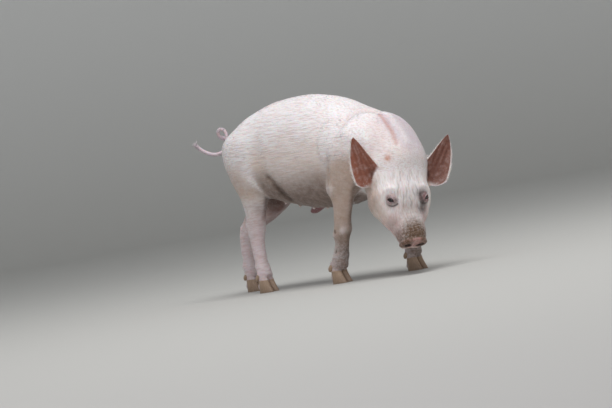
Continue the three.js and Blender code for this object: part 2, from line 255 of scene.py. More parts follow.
def loft(stations, around, along, domes, power=2.0, inset=0.0, side=(1, 0, 0)):
    """A closed tube: at t along the spine its section is a superellipse of the station's half width
    and its own half depth in front and behind, closed at both ends by half-ellipse domes."""
    table = np.asarray(stations, float)
    if table.shape[1] == 4:
        table = table[:, [0, 1, 2, 3, 3, 3]]
    t = (1 - np.cos(np.linspace(0, math.pi, along + 1))) / 2
    centre = spline(at(table[:, 0], table[:, 1], table[:, 2]), t)
    size = spline(table[:, 3:6], t)
    step = 1e-4
    low, high = np.clip(t - step, 0, 1), np.clip(t + step, 0, 1)
    ahead = unit(spline(at(table[:, 0], table[:, 1], table[:, 2]), high)
                 - spline(at(table[:, 0], table[:, 1], table[:, 2]), low))
    side = np.asarray(side, float)
    across = unit(side - (ahead @ side)[:, None] * ahead)
    rise = np.cross(ahead, across)
    start, end = domes
    dome = np.where(t < start, np.sqrt(np.maximum(0, 1 - (1 - t / start) ** 2)), 1.0)
    dome = np.where(t > 1 - end, np.sqrt(np.maximum(0, 1 - ((t - 1 + end) / end) ** 2)), dome)
    angle = np.linspace(0, 2 * math.pi, around, endpoint=False)
    c, s = np.cos(angle), np.sin(angle)
    square = (np.abs(c) ** power + np.abs(s) ** power) ** (-1 / power)
    half_across = (size[:, :1] - inset) * dome[:, None] * square
    half_rise = (np.where(s > 0, size[:, 1:2], size[:, 2:3]) - inset) * dome[:, None] * square
    pull = np.where(t < 0.5, 1 - dome, dome - 1)[:, None] * inset
    rings = (centre + ahead * pull)[:, None] + across[:, None] * (c * half_across)[..., None] \
        + rise[:, None] * (s * half_rise)[..., None]
    return close_rings(rings)


def close_rings(rings, is_open=False):
    """Joins rings of points to a mesh. The first ring is a single point, and so is the last one,
    unless the mesh is left open there."""
    around = rings.shape[1]
    whole = rings[1:] if is_open else rings[1:-1]
    points = np.vstack([rings[0, :1], whole.reshape(-1, 3)])
    row = 1 + np.arange(len(whole))[:, None] * around + np.arange(around)
    turned = np.roll(row, -1, axis=1)
    quads = np.stack([row[:-1], row[1:], turned[1:], turned[:-1]], -1).reshape(-1, 4)
    caps = np.stack([np.zeros(around, int), row[0], turned[0]], -1)
    if not is_open:
        caps = np.vstack([caps, np.stack([np.full(around, len(points)), turned[-1], row[-1]], -1)])
        points = np.vstack([points, rings[-1, :1]])
    return points, quads, caps


def outwards(points, quads, triangles):
    """A closed mesh with its faces turned to point out of it, by the sign of its volume."""
    corners = np.vstack([quads[:, :3], quads[:, [0, 2, 3]], triangles])
    a, b, c = ((points - points.mean(0))[corners[:, i]] for i in range(3))
    if (a * np.cross(b, c)).sum() < 0:
        return points, quads[:, ::-1], triangles[:, ::-1]
    return points, quads, triangles


def read(items, name, size, kind=np.float32):
    """One property of all items, this many numbers each, as an array."""
    values = np.empty(len(items) * size, kind)
    items.foreach_get(name, values)
    return values.reshape(-1, size)


def move(mesh, points):
    """Puts the mesh's vertices at these points."""
    mesh.vertices.foreach_set("co", points.astype(np.float32).ravel())


def make_smooth(mesh):
    """Shades all faces smooth."""
    mesh.polygons.foreach_set("use_smooth", np.ones(len(mesh.polygons), bool))


def make_piece(name, points, quads, triangles, material, slot):
    """Writes a closed mesh, given in packed millimetres, to an object of the model."""
    mesh = bpy.data.meshes.new(name)
    loops = np.concatenate([quads.ravel(), triangles.ravel()])
    starts = np.concatenate([np.arange(len(quads)) * 4, len(quads) * 4 + np.arange(len(triangles)) * 3])
    mesh.vertices.add(len(points))
    move(mesh, points * MM)
    mesh.loops.add(len(loops))
    mesh.loops.foreach_set("vertex_index", loops.astype(np.int32))
    mesh.polygons.add(len(starts))
    mesh.polygons.foreach_set("loop_start", starts.astype(np.int32))
    make_smooth(mesh)
    mesh.update(calc_edges=True)
    mesh.materials.append(material)
    piece = in_scene(name, mesh)
    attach(piece, "root")
    return piece


def set_values(mesh, name, values):
    """Stores one number for each vertex."""
    mesh.attributes.new(name, "FLOAT", "POINT").data.foreach_set("value", values.astype(np.float32))


# ------------------------------------------------------------------ colours and materials
def linear(code, alpha=1.0):
    """An sRGB hex colour as linear red, green, blue and alpha."""
    parts = [int(code[i:i + 2], 16) / 255 for i in (1, 3, 5)]
    return [p / 12.92 if p <= 0.04045 else ((p + 0.055) / 1.055) ** 2.4 for p in parts] + [alpha]


def add(tree, kind, settings=None, links=None):
    """Adds a node. Settings name its properties or inputs; links give an input and the output it takes."""
    node = tree.nodes.new(kind)
    for key, value in (settings or {}).items():
        if isinstance(key, int) or key in node.inputs:
            node.inputs[key].default_value = value
        else:
            setattr(node, key, value)
    for key, source in (links or {}).items():
        tree.links.new(source, node.inputs[key])
    return node


def noise(tree, place, scale, detail, roughness=0.5, distortion=0.0):
    """Socket with a noise from 0 to 1 whose grains are about 1 / scale across."""
    settings = {"Scale": scale, "Detail": detail, "Roughness": roughness, "Distortion": distortion}
    return add(tree, "ShaderNodeTexNoise", settings, {"Vector": place}).outputs["Fac"]


def ranged(tree, value, spread, result):
    """Socket with the spread of a value laid on the range of the result, and held at its ends."""
    settings = dict(zip(("From Min", "From Max", "To Min", "To Max"), (*spread, *result)))
    return add(tree, "ShaderNodeMapRange", settings, {"Value": value}).outputs["Result"]


def product(tree, first, second):
    """Socket with two values multiplied and held between 0 and 1."""
    settings = {"operation": "MULTIPLY", "use_clamp": True}
    return add(tree, "ShaderNodeMath", settings, {0: first, 1: second}).outputs["Value"]


def mixed(tree, share, first, second):
    """Socket with the first colour where the share is 0 and the second where it is 1. A colour is a
    hex code or a socket."""
    settings, links = {"data_type": "RGBA"}, {0: share}
    for index, colour in ((6, first), (7, second)):
        if isinstance(colour, str):
            settings[index] = linear(colour)
        else:
            links[index] = colour
    return add(tree, "ShaderNodeMix", settings, links).outputs[2]


def stretched(tree, place, size, spot=(0, 0, 0), turn=(0, 0, 0)):
    """Socket with the place counted in units of this size from a spot, along turned axes."""
    settings = {"vector_type": "TEXTURE", "Location": spot, "Rotation": turn, "Scale": size}
    return add(tree, "ShaderNodeMapping", settings, {"Vector": place}).outputs["Vector"]


def mark_of(tree, name):
    """Socket with a mark of the mesh."""
    return add(tree, "ShaderNodeAttribute", {"attribute_name": name}).outputs["Fac"]


def place_in(tree):
    """Socket with the place in the object."""
    return add(tree, "ShaderNodeTexCoord").outputs["Object"]


def new_material(name, settings):
    """A material whose shader has these settings, with its node tree and shader."""
    material = bpy.data.materials.new(name)
    material.use_nodes = True
    tree = material.node_tree
    tree.nodes.clear()
    shader = add(tree, "ShaderNodeBsdfPrincipled", settings)
    add(tree, "ShaderNodeOutputMaterial", links={"Surface": shader.outputs["BSDF"]})
    return material, tree, shader


# ------------------------------------------------------------------ the body as distance fields
VOXEL = 3.3                    # mm, spacing of the body's field
MESH_STEP = 4.5                # mm, spacing of the skin's first mesh
BAND = 42.0                    # mm, how far from a surface the fields are exact
EAR_VOXEL, EAR_BAND = 1.1, 11.0    # mm, the same for an ear's field
MARGIN = 6 * VOXEL             # mm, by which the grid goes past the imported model
low_corner = np.array(cad_box[0]) / MM - MARGIN
high_corner = np.array(cad_box[1]) / MM + MARGIN
GRID_SHAPE = np.ceil((high_corner - low_corner) / VOXEL).astype(int) + 1


def field_of(points, quads, triangles, origin, shape, voxel, band):
    """Signed distance to a closed mesh at every grid point, exact within the band."""
    grid = vdb.FloatGrid.createLevelSetFromPolygons(
        np.ascontiguousarray(points - origin, np.float32),
        triangles=np.ascontiguousarray(triangles, np.uint32),
        quads=np.ascontiguousarray(quads, np.uint32),
        transform=vdb.createLinearTransform(voxelSize=voxel), halfWidth=band / voxel)
    values = np.empty(tuple(shape), np.float32)
    grid.copyToArray(values)
    return values


def body_field(mesh):
    """Signed distance to a closed mesh of the pig's own frame at every point of the body's grid."""
    points, quads, triangles = mesh
    return field_of(points + SHIFT, quads, triangles, low_corner, GRID_SHAPE, VOXEL, BAND)


def blend(a, b, reach):
    """Smooth minimum: the two distances join with a fillet that begins where they differ by reach."""
    h = np.maximum(reach - np.abs(a - b), 0) / reach
    return np.minimum(a, b) - h * h * h * reach / 6


def sample(values, origin, voxel, points, outside):
    """Value of a field at free points, by trilinear interpolation."""
    place = (points - origin) / voxel
    base = np.floor(place).astype(int)
    inside = np.all((base >= 0) & (base < np.array(values.shape) - 1), axis=1)
    base = np.clip(base, 0, np.array(values.shape) - 2)
    w = np.clip(place - base, 0, 1)
    total = np.zeros(len(points))
    for i in (0, 1):
        for j in (0, 1):
            for k in (0, 1):
                weight = np.abs(1 - i - w[:, 0]) * np.abs(1 - j - w[:, 1]) * np.abs(1 - k - w[:, 2])
                total += weight * values[base[:, 0] + i, base[:, 1] + j, base[:, 2] + k]
    return np.where(inside, total, outside)


def ear_frame(ear):
    """Root, length and the directions of an ear: to the tip, to the outer edge, out of the opening."""
    root, tip = on_head(*ear["root"]) + SHIFT, on_head(*ear["tip"]) + SHIFT
    rise = unit(tip - root)
    across = unit(np.cross(rise, along_head(*ear["opening"])))
    return root, np.linalg.norm(tip - root), rise, across * ear["hand"], np.cross(across, rise)


def ear_edges(t):
    """Half widths of an ear at t from root to tip: convex to the outside, straight to the inside."""
    base = np.sin(math.pi / 2 * np.minimum(1, t / 0.22)) ** 0.6
    outer = EAR_OUTER * (1 - t ** 2.6) * base
    inner = (EAR_INNER * (1 - t) ** 0.75 + EAR_BASE * (1 - t) ** 4) * base
    return outer, inner


def ear_lift(x, t):
    """How far the middle of the ear's thickness stands forward: a cup across, a curl at the tip."""
    return EAR_CUP * ((x / 36) ** 2 - 0.3) * (1 - 0.4 * t) + EAR_CURL * t ** 2


def ear_mesh(ear, around=120, along=80):
    """A pointed leaf from root to tip between its two edges, cupped and curled. Its back and front
    lie half the thickness apart, the thickness falls to the tip and the rims, and ridges of cartilage
    run up the front."""
    root, length, rise, outer_way, face = ear_frame(ear)
    t = np.clip((1 - np.cos(np.linspace(0, math.pi, along + 1)))[:, None] / 2, 0, 1)
    angle = np.linspace(0, 2 * math.pi, around, endpoint=False)
    outer, inner = ear_edges(t)
    across = np.cos(angle)
    x = np.where(across > 0, outer, inner) * across
    front = np.sin(angle)
    ridges = 0.8 * np.cos(x * 0.62) * hump(x, 4, 20) * smooth(t, 0.25, 0.4) * (1 - smooth(t, 0.75, 0.92))
    half = (2.5 - 1.2 * t) * np.abs(front) ** 0.6 * np.minimum(1, (outer + inner) / 30) ** 0.5
    lift = ear_lift(x, t) + np.where(front > 0, half + ridges * front, -half)
    rings = root + rise * (t * length)[..., None] + outer_way * x[..., None] + face * lift[..., None]
    return outwards(*close_rings(rings))


parts = {
    "trunk": body_field(loft(TRUNK, 96, 90, (0.17, 0.14), 2.15, COAT_BODY)),
    "sheath": body_field(loft(SHEATH, 32, 24, (0.3, 0.4), 2.0, 0.5)),
    "neck": body_field(loft(NECK, 96, 60, (0.3, 0.3), 2.1, COAT_BODY)),
    "tail": body_field(loft(TAIL, 24, 220, (0.05, 0.05), 2.0, COAT_TAIL, TAIL_SIDE)),
}
head_points, head_quads, head_triangles = loft(HEAD, 96, 120, (0.16, 0.03), 2.15, COAT_HEAD)
head_points = at(*HEAD_ORIGIN) + head_points @ HEAD_AXES.T
parts["head"] = body_field((head_points, head_quads, head_triangles))
for name, leg in LEGS.items():
    ahead, left = leg["stations"][-1][:2]
    flesh = leg["stations"][:-1] + [[ahead, left, 32, 16, 17, 17]]
    parts[name] = body_field(loft(flesh, 64, 90, (0.12, 0.05), 2.0, COAT_LEG))

EAR_MARGIN = 12                # mm, by which an ear's grid goes past the ear
ear_fields = {}
for name, ear in EARS.items():
    points, quads, triangles = ear_mesh(ear)
    origin = points.min(0) - EAR_MARGIN
    shape = np.ceil((points.max(0) + EAR_MARGIN - origin) / EAR_VOXEL).astype(int) + 1
    ear_fields[name] = (field_of(points, quads, triangles, origin, shape, EAR_VOXEL, EAR_BAND), origin)


def to_part(name, points):
    """Signed distance from points to one part of the body."""
    return sample(parts[name], low_corner, VOXEL, points, BAND)


def to_ear(name, points):
    """Signed distance from points to one ear."""
    values, origin = ear_fields[name]
    return sample(values, origin, EAR_VOXEL, points, EAR_BAND)


EYE_CENTRES = {hand: on_head(EYE[0], hand * EYE[1], EYE[2]) + SHIFT for hand in (LEFT, RIGHT)}
LID = 1.5                      # mm, thickness of an eyelid

# Reach of the fillet where each part joins the body, mm. A leg's is given above and below the elbow or
# the stifle.
FILLETS = {"neck": 36, "head": 42, "fore": (34, 16), "hind": (36, 15), "sheath": 9, "tail": 10}
EYE_FILLET, EAR_FILLET = 9.0, 8.0
own_height = low_corner[2] - SHIFT[2] + VOXEL * np.arange(GRID_SHAPE[2])

body = parts["trunk"]
for name in ("neck", "head", *LEGS, "sheath", "tail"):
    if name in LEGS:
        loose, tight = FILLETS[name[:4]]
        reach = tight + (loose - tight) * smooth(own_height, 215, 300)
    else:
        reach = FILLETS[name]
    body = blend(body, parts[name], reach)


def toe_shapes(foot):
    """Centre, radii and fillet of the ellipsoids that make a foot's toes, heel bulbs and dewclaw roots."""
    ahead, left = foot
    return [(at(ahead - back, left + hand * side, height) + SHIFT, radii, reach)
            for hand in (LEFT, RIGHT) for back, side, height, radii, reach in (
                (2.2, 9.2, 27, (9.2, 13.6, 12.5), 6.0),
                (12, 8.6, 15, (8.2, 7.6, 10.5), 5.0),
                (9, 10.8, 45, (6.0, 7.2, 8.0), 8.0))]


TOE_SHAPES = {name: toe_shapes(leg["foot"]) for name, leg in LEGS.items()}
FOOT_TOP = 80                  # mm, the toes' shapes matter only below this height


def ellipsoid_distance(points, centre, radii):
    """Near its surface, the distance to an ellipsoid is k (k - 1) / |p / r^2| with k = |p / r|."""
    local = points - centre
    k = np.linalg.norm(local / np.array(radii), axis=1)
    return k * (k - 1) / np.maximum(np.linalg.norm(local / np.array(radii) ** 2, axis=1), 1e-6)


def skin_distance(points, ear_swell=0.0):
    """Signed distance to the undetailed skin: body, toes, ears and the bulge that the lids make."""
    value = sample(body, low_corner, VOXEL, points, BAND)
    low = points[:, 2] < FOOT_TOP
    for centre, radii, reach in sum(TOE_SHAPES.values(), []):
        value[low] = blend(value[low], ellipsoid_distance(points[low], centre, radii), reach)
    for centre in EYE_CENTRES.values():
        value = blend(value, far_from(points, centre) - EYE_RADIUS - LID, EYE_FILLET)
    for name in EARS:
        value = blend(value, to_ear(name, points) - ear_swell, EAR_FILLET)
    return value


def settle(points, rounds=3, reach=4.0):
    """Moves points along the field's slope until they lie on the skin."""
    for _ in range(rounds):
        value = skin_distance(points)
        step = 0.4
        slope = np.stack([
            skin_distance(points + step * axis) - skin_distance(points - step * axis)
            for axis in np.eye(3)], -1) / (2 * step)
        size = np.maximum((slope ** 2).sum(1), 0.2)
        points = points - np.clip(value / size, -reach, reach)[:, None] * slope
    return points


EAR_SWELL = 2.8                # mm, so that the thin ears show in the first, coarse mesh
mesh_shape = np.ceil((high_corner - low_corner) / MESH_STEP).astype(int) + 1
mesh_places = low_corner + MESH_STEP * np.stack(
    np.meshgrid(*(np.arange(n) for n in mesh_shape), indexing="ij"), -1).reshape(-1, 3)
first_field = skin_distance(mesh_places, EAR_SWELL).reshape(mesh_shape).astype(np.float32)
first_grid = vdb.FloatGrid(BAND)
first_grid.transform = vdb.createLinearTransform(voxelSize=MESH_STEP)
first_grid.copyFromArray(first_field)
skin_points, skin_quads = first_grid.convertToQuads(0)
skin_points = skin_points.astype(float) + low_corner
skin_quads = skin_quads.astype(int)


# ------------------------------------------------------------------ refining and relaxing the mesh
def edges_of(mesh):
    """The two vertices of every edge."""
    return read(mesh.edges, "vertices", 2, np.int32)


def places_of(mesh):
    """The places of the mesh's vertices."""
    return read(mesh.vertices, "co", 3).astype(float)


def relax(points, edges, rounds, share=0.5):
    """Evens out the mesh: each point moves part of the way to the middle of its neighbours."""
    count = np.bincount(edges.ravel(), minlength=len(points))[:, None]
    for _ in range(rounds):
        total = np.stack([
            np.bincount(edges[:, 0], points[edges[:, 1], axis], len(points))
            + np.bincount(edges[:, 1], points[edges[:, 0], axis], len(points)) for axis in range(3)], -1)
        points = points + share * (total / np.maximum(count, 1) - points)
    return points


def refine(mesh, chosen):
    """Splits the edges between chosen vertices in two, and the faces with them."""
    work = bmesh.new()
    work.from_mesh(mesh)
    work.verts.ensure_lookup_table()
    edges = [edge for edge in work.edges if chosen[edge.verts[0].index] and chosen[edge.verts[1].index]]
    bmesh.ops.subdivide_edges(work, edges=edges, cuts=1, use_grid_fill=True)
    work.to_mesh(mesh)
    work.free()


def near_eye(points, reach):
    """Whether points lie within reach of the middle of an eye."""
    return np.min([far_from(points, centre) for centre in EYE_CENTRES.values()], axis=0) < reach


def near_ear(points, reach):
    """Whether points lie within reach of an ear."""
    return np.min([to_ear(name, points) for name in EARS], axis=0) < reach


# The teats stand in two rows along the belly, mm.
TEAT_AHEAD = (-25, 18, 60, 102, 144, 184)
TEAT_SIDE = 29
# The skin's mesh is finer where these reaches from an eye, an ear or a part end, mm.
EYE_SURROUNDINGS, LID_REACH, EAR_REACH, HEAD_REACH, THIN_REACH = 22, 15, 6, 6, 3


def first_zone(points):
    """Head, ears, feet, tail, sheath and teats."""
    ahead, side, rise = head_places(points)
    own_ahead, own_left, height = own_places(points)
    face = (ahead > 20) & (ahead < 230) & (np.abs(side) < 90) & (np.abs(rise) < 110)
    to_teat = np.min([np.abs(own_ahead - spot) for spot in TEAT_AHEAD], axis=0)
    teats = (np.hypot(to_teat, np.abs(own_left) - TEAT_SIDE) < 12) & (height < 225) & (height > 150)
    thin = np.minimum(to_part("tail", points), to_part("sheath", points)) < THIN_REACH
    face &= to_part("head", points) < HEAD_REACH
    return face | near_ear(points, EAR_REACH) | (height < 40) | teats | thin


def second_zone(points):
    """Front of the face, muzzle and the surroundings of the eyes."""
    ahead, side, rise = head_places(points)
    near = (ahead < 230) & (np.abs(side) < 62) & (np.abs(rise) < 62)
    return (near & ((ahead > 148) | ((ahead > 30) & (rise > 16)))) | near_eye(points, EYE_SURROUNDINGS)


def third_zone(points):
    """Lids and nostrils."""
    ahead, side, rise = head_places(points)
    nostril = np.hypot(np.abs(side) - NOSTRIL[0], rise - NOSTRIL[1]) < 11
    return near_eye(points, LID_REACH) | (nostril & (ahead > 180) & (ahead < 230))


skin_mesh = bpy.data.meshes.new("skin")
skin_mesh.from_pydata(skin_points, [], skin_quads.tolist())
skin_mesh.update(calc_edges=True)
shape_now = settle(places_of(skin_mesh))
shape_now = settle(relax(shape_now, edges_of(skin_mesh), 3))
move(skin_mesh, shape_now)
for zone in (first_zone, second_zone, third_zone):
    refine(skin_mesh, zone(shape_now))
    shape_now = settle(relax(places_of(skin_mesh), edges_of(skin_mesh), 2), 2)
    move(skin_mesh, shape_now)
skin_mesh.update(calc_edges=True)


def normals_of(mesh, points):
    """Vertex normals of the mesh with these points."""
    move(mesh, points)
    mesh.update()
    return read(mesh.vertices, "normal", 3).astype(float)


# ------------------------------------------------------------------ lines that skin and marks share
def leg_places(name, points):
    """Ahead of, outwards from and height along a leg's middle line."""
    table = np.array(LEGS[name]["stations"], float)[::-1]
    ahead, left, height = own_places(points)
    middle_ahead = np.interp(height, table[:, 2], table[:, 0])
    middle_left = np.interp(height, table[:, 2], table[:, 1])
    return ahead - middle_ahead, (left - middle_left) * LEGS[name]["side"], height


def ear_places(name, points):
    """Share of the ear's length, distance to its outer edge's side, and distance in front of its middle."""
    root, length, rise, outer_way, face = ear_frame(EARS[name])
    local = points - root
    t = (local @ rise) / length
    x = local @ outer_way
    return t, x, local @ face - ear_lift(x, np.clip(t, 0, 1))


def mouth_line(ahead):
    """Height of the mouth line, below the head's axis: it rises a little at its back corner."""
    return MOUTH_RISE + 9 * smooth(120 - ahead, 0, 40) - 2.0 * hump(ahead, 165, 16)


def furrows(ahead, side, rise):
    """Lines that wander up the forehead between the eyes, each as deep as its share."""
    share = np.zeros(len(ahead))
    for spot, depth in ((-31, 0.6), (-22, 0.9), (-13, 1.0), (-5, 0.8), (4, 1.0), (12, 0.9), (20, 1.0),
                        (29, 0.6)):
        wander = 1.6 * np.sin(ahead * 0.09 + spot) + 0.9 * np.sin(ahead * 0.31 + 2 * spot) \
            + 0.08 * spot * (ahead - 70) / 20
        broken = smooth(np.sin(ahead * (0.13 + 0.0012 * spot) + 1.7 * spot), -0.7, 0.6)
        share += depth * broken * hump(side, spot + wander, 1.5)
    return share * smooth(ahead, 20, 46) * (1 - smooth(ahead, 112, 134)) * smooth(rise, 16, 26)


def to_disc(ahead, rise):
    """Distance along the head, 190 all over the leaning disc of the snout."""
    return ahead - NOSE_LEAN * (rise - NOSE_MIDDLE)


def nostril_reach(side, rise):
    """1 on the rim of a nostril, a slanted oval, and less inside it."""
    up = rise - NOSTRIL[1]
    out = np.abs(side) - NOSTRIL[0] - 0.3 * up
    return np.sqrt((out / 8.0) ** 2 + (up / 9.0) ** 2)


def eye_frame(hand):
    """Directions of an eye: out of the lids, along the slit to the nose, and across it to the brow."""
    gaze = along_head(0.30, hand * 0.66, 0.69)
    slit = along_head(0.5, hand * -0.62, 0.3)
    slit = unit(slit - (slit @ gaze) * gaze)
    over = np.cross(gaze, slit)
    return gaze, slit, over if over @ along_head(-1, 0, 0.3) > 0 else -over


def lid_edges(x):
    """Height of the upper and lower lid's edge at x along the slit: two arches that meet at the corners."""
    arch = np.maximum(0, 1 - (np.abs(x + 0.3) / 8.0) ** 2.2) ** 0.8
    return 3.9 * arch, -2.9 * arch


def lid_places(hand, points):
    """Along the slit, across it, outwards, and how far inside the opening a point lies."""
    gaze, slit, over = eye_frame(hand)
    ray = points - EYE_CENTRES[hand]
    x, y, z = ray @ slit, ray @ over, ray @ gaze
    upper, lower = lid_edges(x)
    gap = np.minimum(upper - y, y - lower) - 1.6 * np.maximum(0, np.abs(x + 0.3) - 7.4)
    return x, y, z, gap


def near_line(points, line, width):
    """1 on a line of points, falling to 0 beyond its width."""
    track = spline(line, np.linspace(0, 1, 60))
    share = np.zeros(len(points))
    close = np.min(np.abs(points[:, None] - line[None]).max(2), axis=1) < 60
    gaps = np.min(np.stack([far_from(points[close], spot) for spot in track]), axis=0)
    share[close] = hump(gaps, 0, width)
    return share


def own_line(*places):
    """Packed points of a line given in the pig's own frame as ahead, left, height."""
    return at(*np.array(places, float).T) + SHIFT


def head_line(*places):
    """Packed points of a line given in the head's frame as ahead, side, rise."""
    return on_head(*np.array(places, float).T) + SHIFT


# A graze runs down beside the crest of the neck, with a spot below it.
GRAZE = own_line((294, -16, 369), (314, -27, 354), (332, -35, 336), (348, -41, 316), (361, -51, 295))
GRAZE_SPOT = own_line((351, -76, 265))[0]
CREST = own_line((302, -4, 371), (320, -8, 360), (342, -17, 342), (362, -22, 316), (372, -26, 294))
BLADE = own_line((226, -98, 326), (238, -84, 352), (241, -56, 371), (248, -28, 379), (262, -8, 379),
                 (284, -10, 372))
BLADE_TOP = own_line((252, -92, 334), (257, -74, 350), (262, -52, 361), (272, -34, 366))
FLANK_FOLD = own_line((-3, -94, 264), (3, -92, 254), (9, -89, 243), (15, -80, 228), (18, -62, 210))
# A painted shadow in the socket of the left eye.
EYE_SOCKET_SHADOW = head_line((86, 33, 38), (96, 35, 35), (106, 35, 30), (114, 32, 24))
ELBOW_FOLD = own_line((208, -112, 290), (194, -106, 264), (180, -98, 236), (180, -96, 216))
CHEEK_FOLD = {hand: head_line((40, hand * 66, 22), (54, hand * 66, 12), (76, hand * 68, 0),
                              (94, hand * 66, -16)) for hand in (LEFT, RIGHT)}


# ------------------------------------------------------------------ sculpting
def sculpt_body(points, normals):
    """Bones, tendons and folds of the trunk and legs as humps and grooves along the normals."""
    ahead, left, height = own_places(points)
    width = np.abs(left)
    d = np.zeros(len(points))
    trunk = to_part("trunk", points) < 8
    # spine, hip bones, the lower edge of the ribs and the soft flank in front of the thigh
    d += trunk * 1.6 * hump(left, 0, 15) * smooth(height, 380, 410) * smooth(ahead, -170, -120)
    d += trunk * 3.0 * hump(ahead, -84, 24) * hump(width, 62, 20) * smooth(height, 350, 390)
    d -= trunk * 3.2 * hump(ahead, -28, 26) * hump(height, 318, 50) * smooth(width, 60, 90)
    d += trunk * 1.8 * hump(ahead, 60, 70) * hump(height, 262, 40) * smooth(width, 60, 90)
    # shoulder blade: its upper edge stands out as a low arc
    blade = np.hypot((ahead - 232) / 62, (height - 318) / 72)
    d += smooth(width, 30, 60) * smooth(ahead, 150, 170) * 2.4 * (1 - smooth(blade, 0.84, 1.08)) \
        * smooth(height, 250, 300)
    # on the right side, which the turned neck stretches: upper edge of the shoulder blade, crest of the
    # neck, and the folds in front of the thigh and behind the elbow
    d += 4.6 * near_line(points, BLADE_TOP, 17) - 3.4 * near_line(points, BLADE, 9)
    d += 2.8 * near_line(points, CREST, 10) - 2.8 * near_line(points, GRAZE, 6)
    d -= trunk * (3.4 * near_line(points, FLANK_FOLD, 12) + 2.6 * near_line(points, ELBOW_FOLD, 10))
    # slack folds that run down the neck behind the ears
    neck = to_part("neck", points) < 8
    for spot, depth in ((252, 0.5), (270, 0.8), (289, 0.7)):
        wave = ahead - 0.16 * (height - 300) + 3 * np.sin(height * 0.05 + spot)
        d -= neck * depth * hump(wave, spot, 6.5) * smooth(width, 26, 50) * smooth(height, 215, 250)
    # vent under the root of the tail
    d -= 4.0 * hump(np.hypot(left / 7, (height - 349) / 8), 0, 0.7) * (ahead < -150)
    d += 2.2 * hump(np.hypot(left / 12, (height - 349) / 13), 1, 0.3) * (ahead < -150)
    # teats, and the opening of the sheath
    for spot in TEAT_AHEAD:
        near = np.hypot(ahead - spot, width - TEAT_SIDE)
        d += (height < 250) * (4.6 * smooth(4.6 - near, 0, 3.4) + 1.0 * hump(near, 0, 9))
    d -= 1.6 * hump(np.hypot(ahead - 25, left), 0, 3.0) * (height < 176)
    for name in LEGS:
        d += sculpt_leg(name, points)
    return points + normals * d[:, None]


def sculpt_leg(name, points):
    """Joints, tendons and wrinkles of one leg."""
    front, out, height = leg_places(name, points)
    mine = smooth(7 - to_part(name, points), 0, 5) * (height < 330)
    back = smooth(-front, 3, 12)
    ahead_side = smooth(front, 3, 12)
    side = smooth(np.abs(out), 6, 13)
    d = np.zeros(len(points))
    if name.startswith("fore"):
        d += 2.6 * hump(height, 122, 13) * ahead_side + 1.6 * hump(height, 118, 12) * side
        d += 3.0 * hump(height, 112, 8) * back
        d -= 1.6 * hump(height, 92, 9) * (side + back)
        d += 4.0 * hump(height, 214, 15) * back
        d -= 2.2 * hump(height, 190, 18) * side * smooth(out, -4, 6)
    else:
        hock = 152 if name.endswith("left") else 160
        d += 3.4 * hump(height, hock + 4, 10) * back
        d += 1.6 * hump(height, hock - 16, 11) * side
        d -= 3.6 * hump(height, hock + 34, 20) * side * hump(front, -13, 9)
        d -= 1.4 * hump(height, hock - 40, 16) * side
        d += 2.4 * hump(height, 262, 26) * smooth(out, 5, 20)
    # fetlock, pastern and the tendon that stands clear of the cannon behind
    d += 1.8 * hump(height, 62, 9) * (side + 0.8 * back)
    d -= 1.2 * hump(height, 88, 14) * side * hump(front, -8, 5)
    for level in (49, 54, 71, 77):
        d -= 0.7 * hump(height + 0.12 * front, level, 1.7)
    return mine * d


def sculpt_face(points, normals):
    """Brow, cheek, dished nose, creases of the muzzle, the snout's rim and the lips."""
    ahead, side, rise = head_places(points)
    width = np.abs(side)
    face = smooth(ahead, 10, 40) * (to_part("head", points) < 12)
    d = np.zeros(len(points))
    for line in CHEEK_FOLD.values():
        d -= face * 2.2 * near_line(points, line, 5)
    d += face * 2.6 * hump(ahead, 66, 12) * hump(width, 38, 12) * smooth(rise, 20, 34)
    d -= face * 3.2 * hump(ahead, 50, 14) * hump(width, 66, 12) * hump(rise, 8, 20)
    d += face * 3.4 * hump(ahead, 116, 13) * hump(width, 44, 12) * hump(rise, 6, 18)
    d += face * 3.0 * hump(ahead, 78, 24) * smooth(width, 40, 60) * hump(rise, -38, 22)
    d -= face * 2.8 * hump(ahead, 110, 20) * hump(side, 0, 20) * smooth(rise, 5, 20)
    d -= face * 2.4 * hump(ahead, 143, 10) * smooth(width, 22, 34) * hump(rise, 6, 22)
    d -= face * 1.1 * furrows(ahead, side, rise)
    # creases across the top of the muzzle
    for spot, depth in ((126, 0.3), (137, 0.5), (147, 0.7), (156, 0.9), (163, 0.6), (170, 1.1)):
        wander = 2.2 * np.sin(side * 0.12 + spot)
        d -= depth * hump(ahead + wander, spot, 1.9) * hump(side, 0, 24) * smooth(rise, 4, 16)
    # groove behind the disc and its raised rim
    snout = smooth(ahead, 150, 165)
    disc = to_disc(ahead, rise)
    d -= snout * (2.0 - 0.8 * smooth(rise, 4, 16)) * hump(disc, 178, 3.2)
    d += snout * (1.2 - 0.8 * smooth(rise, 4, 16)) * hump(disc, 186.5, 3.0)
    # mouth line, lips and chin
    mouth = mouth_line(ahead)
    run = smooth(ahead, 84, 98) * (1 - smooth(ahead, 184, 190)) * (width > 12)
    d -= run * 2.6 * hump(rise, mouth, 1.9)
    d += run * 1.5 * hump(rise, mouth + 6, 4.5) + run * 1.2 * hump(rise, mouth - 6, 4.0)
    d += 2.2 * hump(ahead, 170, 12) * hump(rise, -34, 9) * hump(side, 0, 16)
    return points + normals * d[:, None]


def sculpt_nostrils(points):
    """Two slanted ovals that run back into the disc, with rolled rims and a dip between them."""
    ahead, side, rise = head_places(points)
    reach = nostril_reach(side, rise)
    on_disc = smooth(to_disc(ahead, rise), 180, 185)
    back = -14.0 * smooth(1.1 - reach, 0.0, 0.7) + 1.4 * hump(reach, 1.4, 0.25)
    back -= 1.0 * hump(side, 0, 4) + 1.4 * hump(rise, 21, 5) * hump(side, 0, 6)
    return points + along_head(1, 0, 0) * (on_disc * back)[:, None]


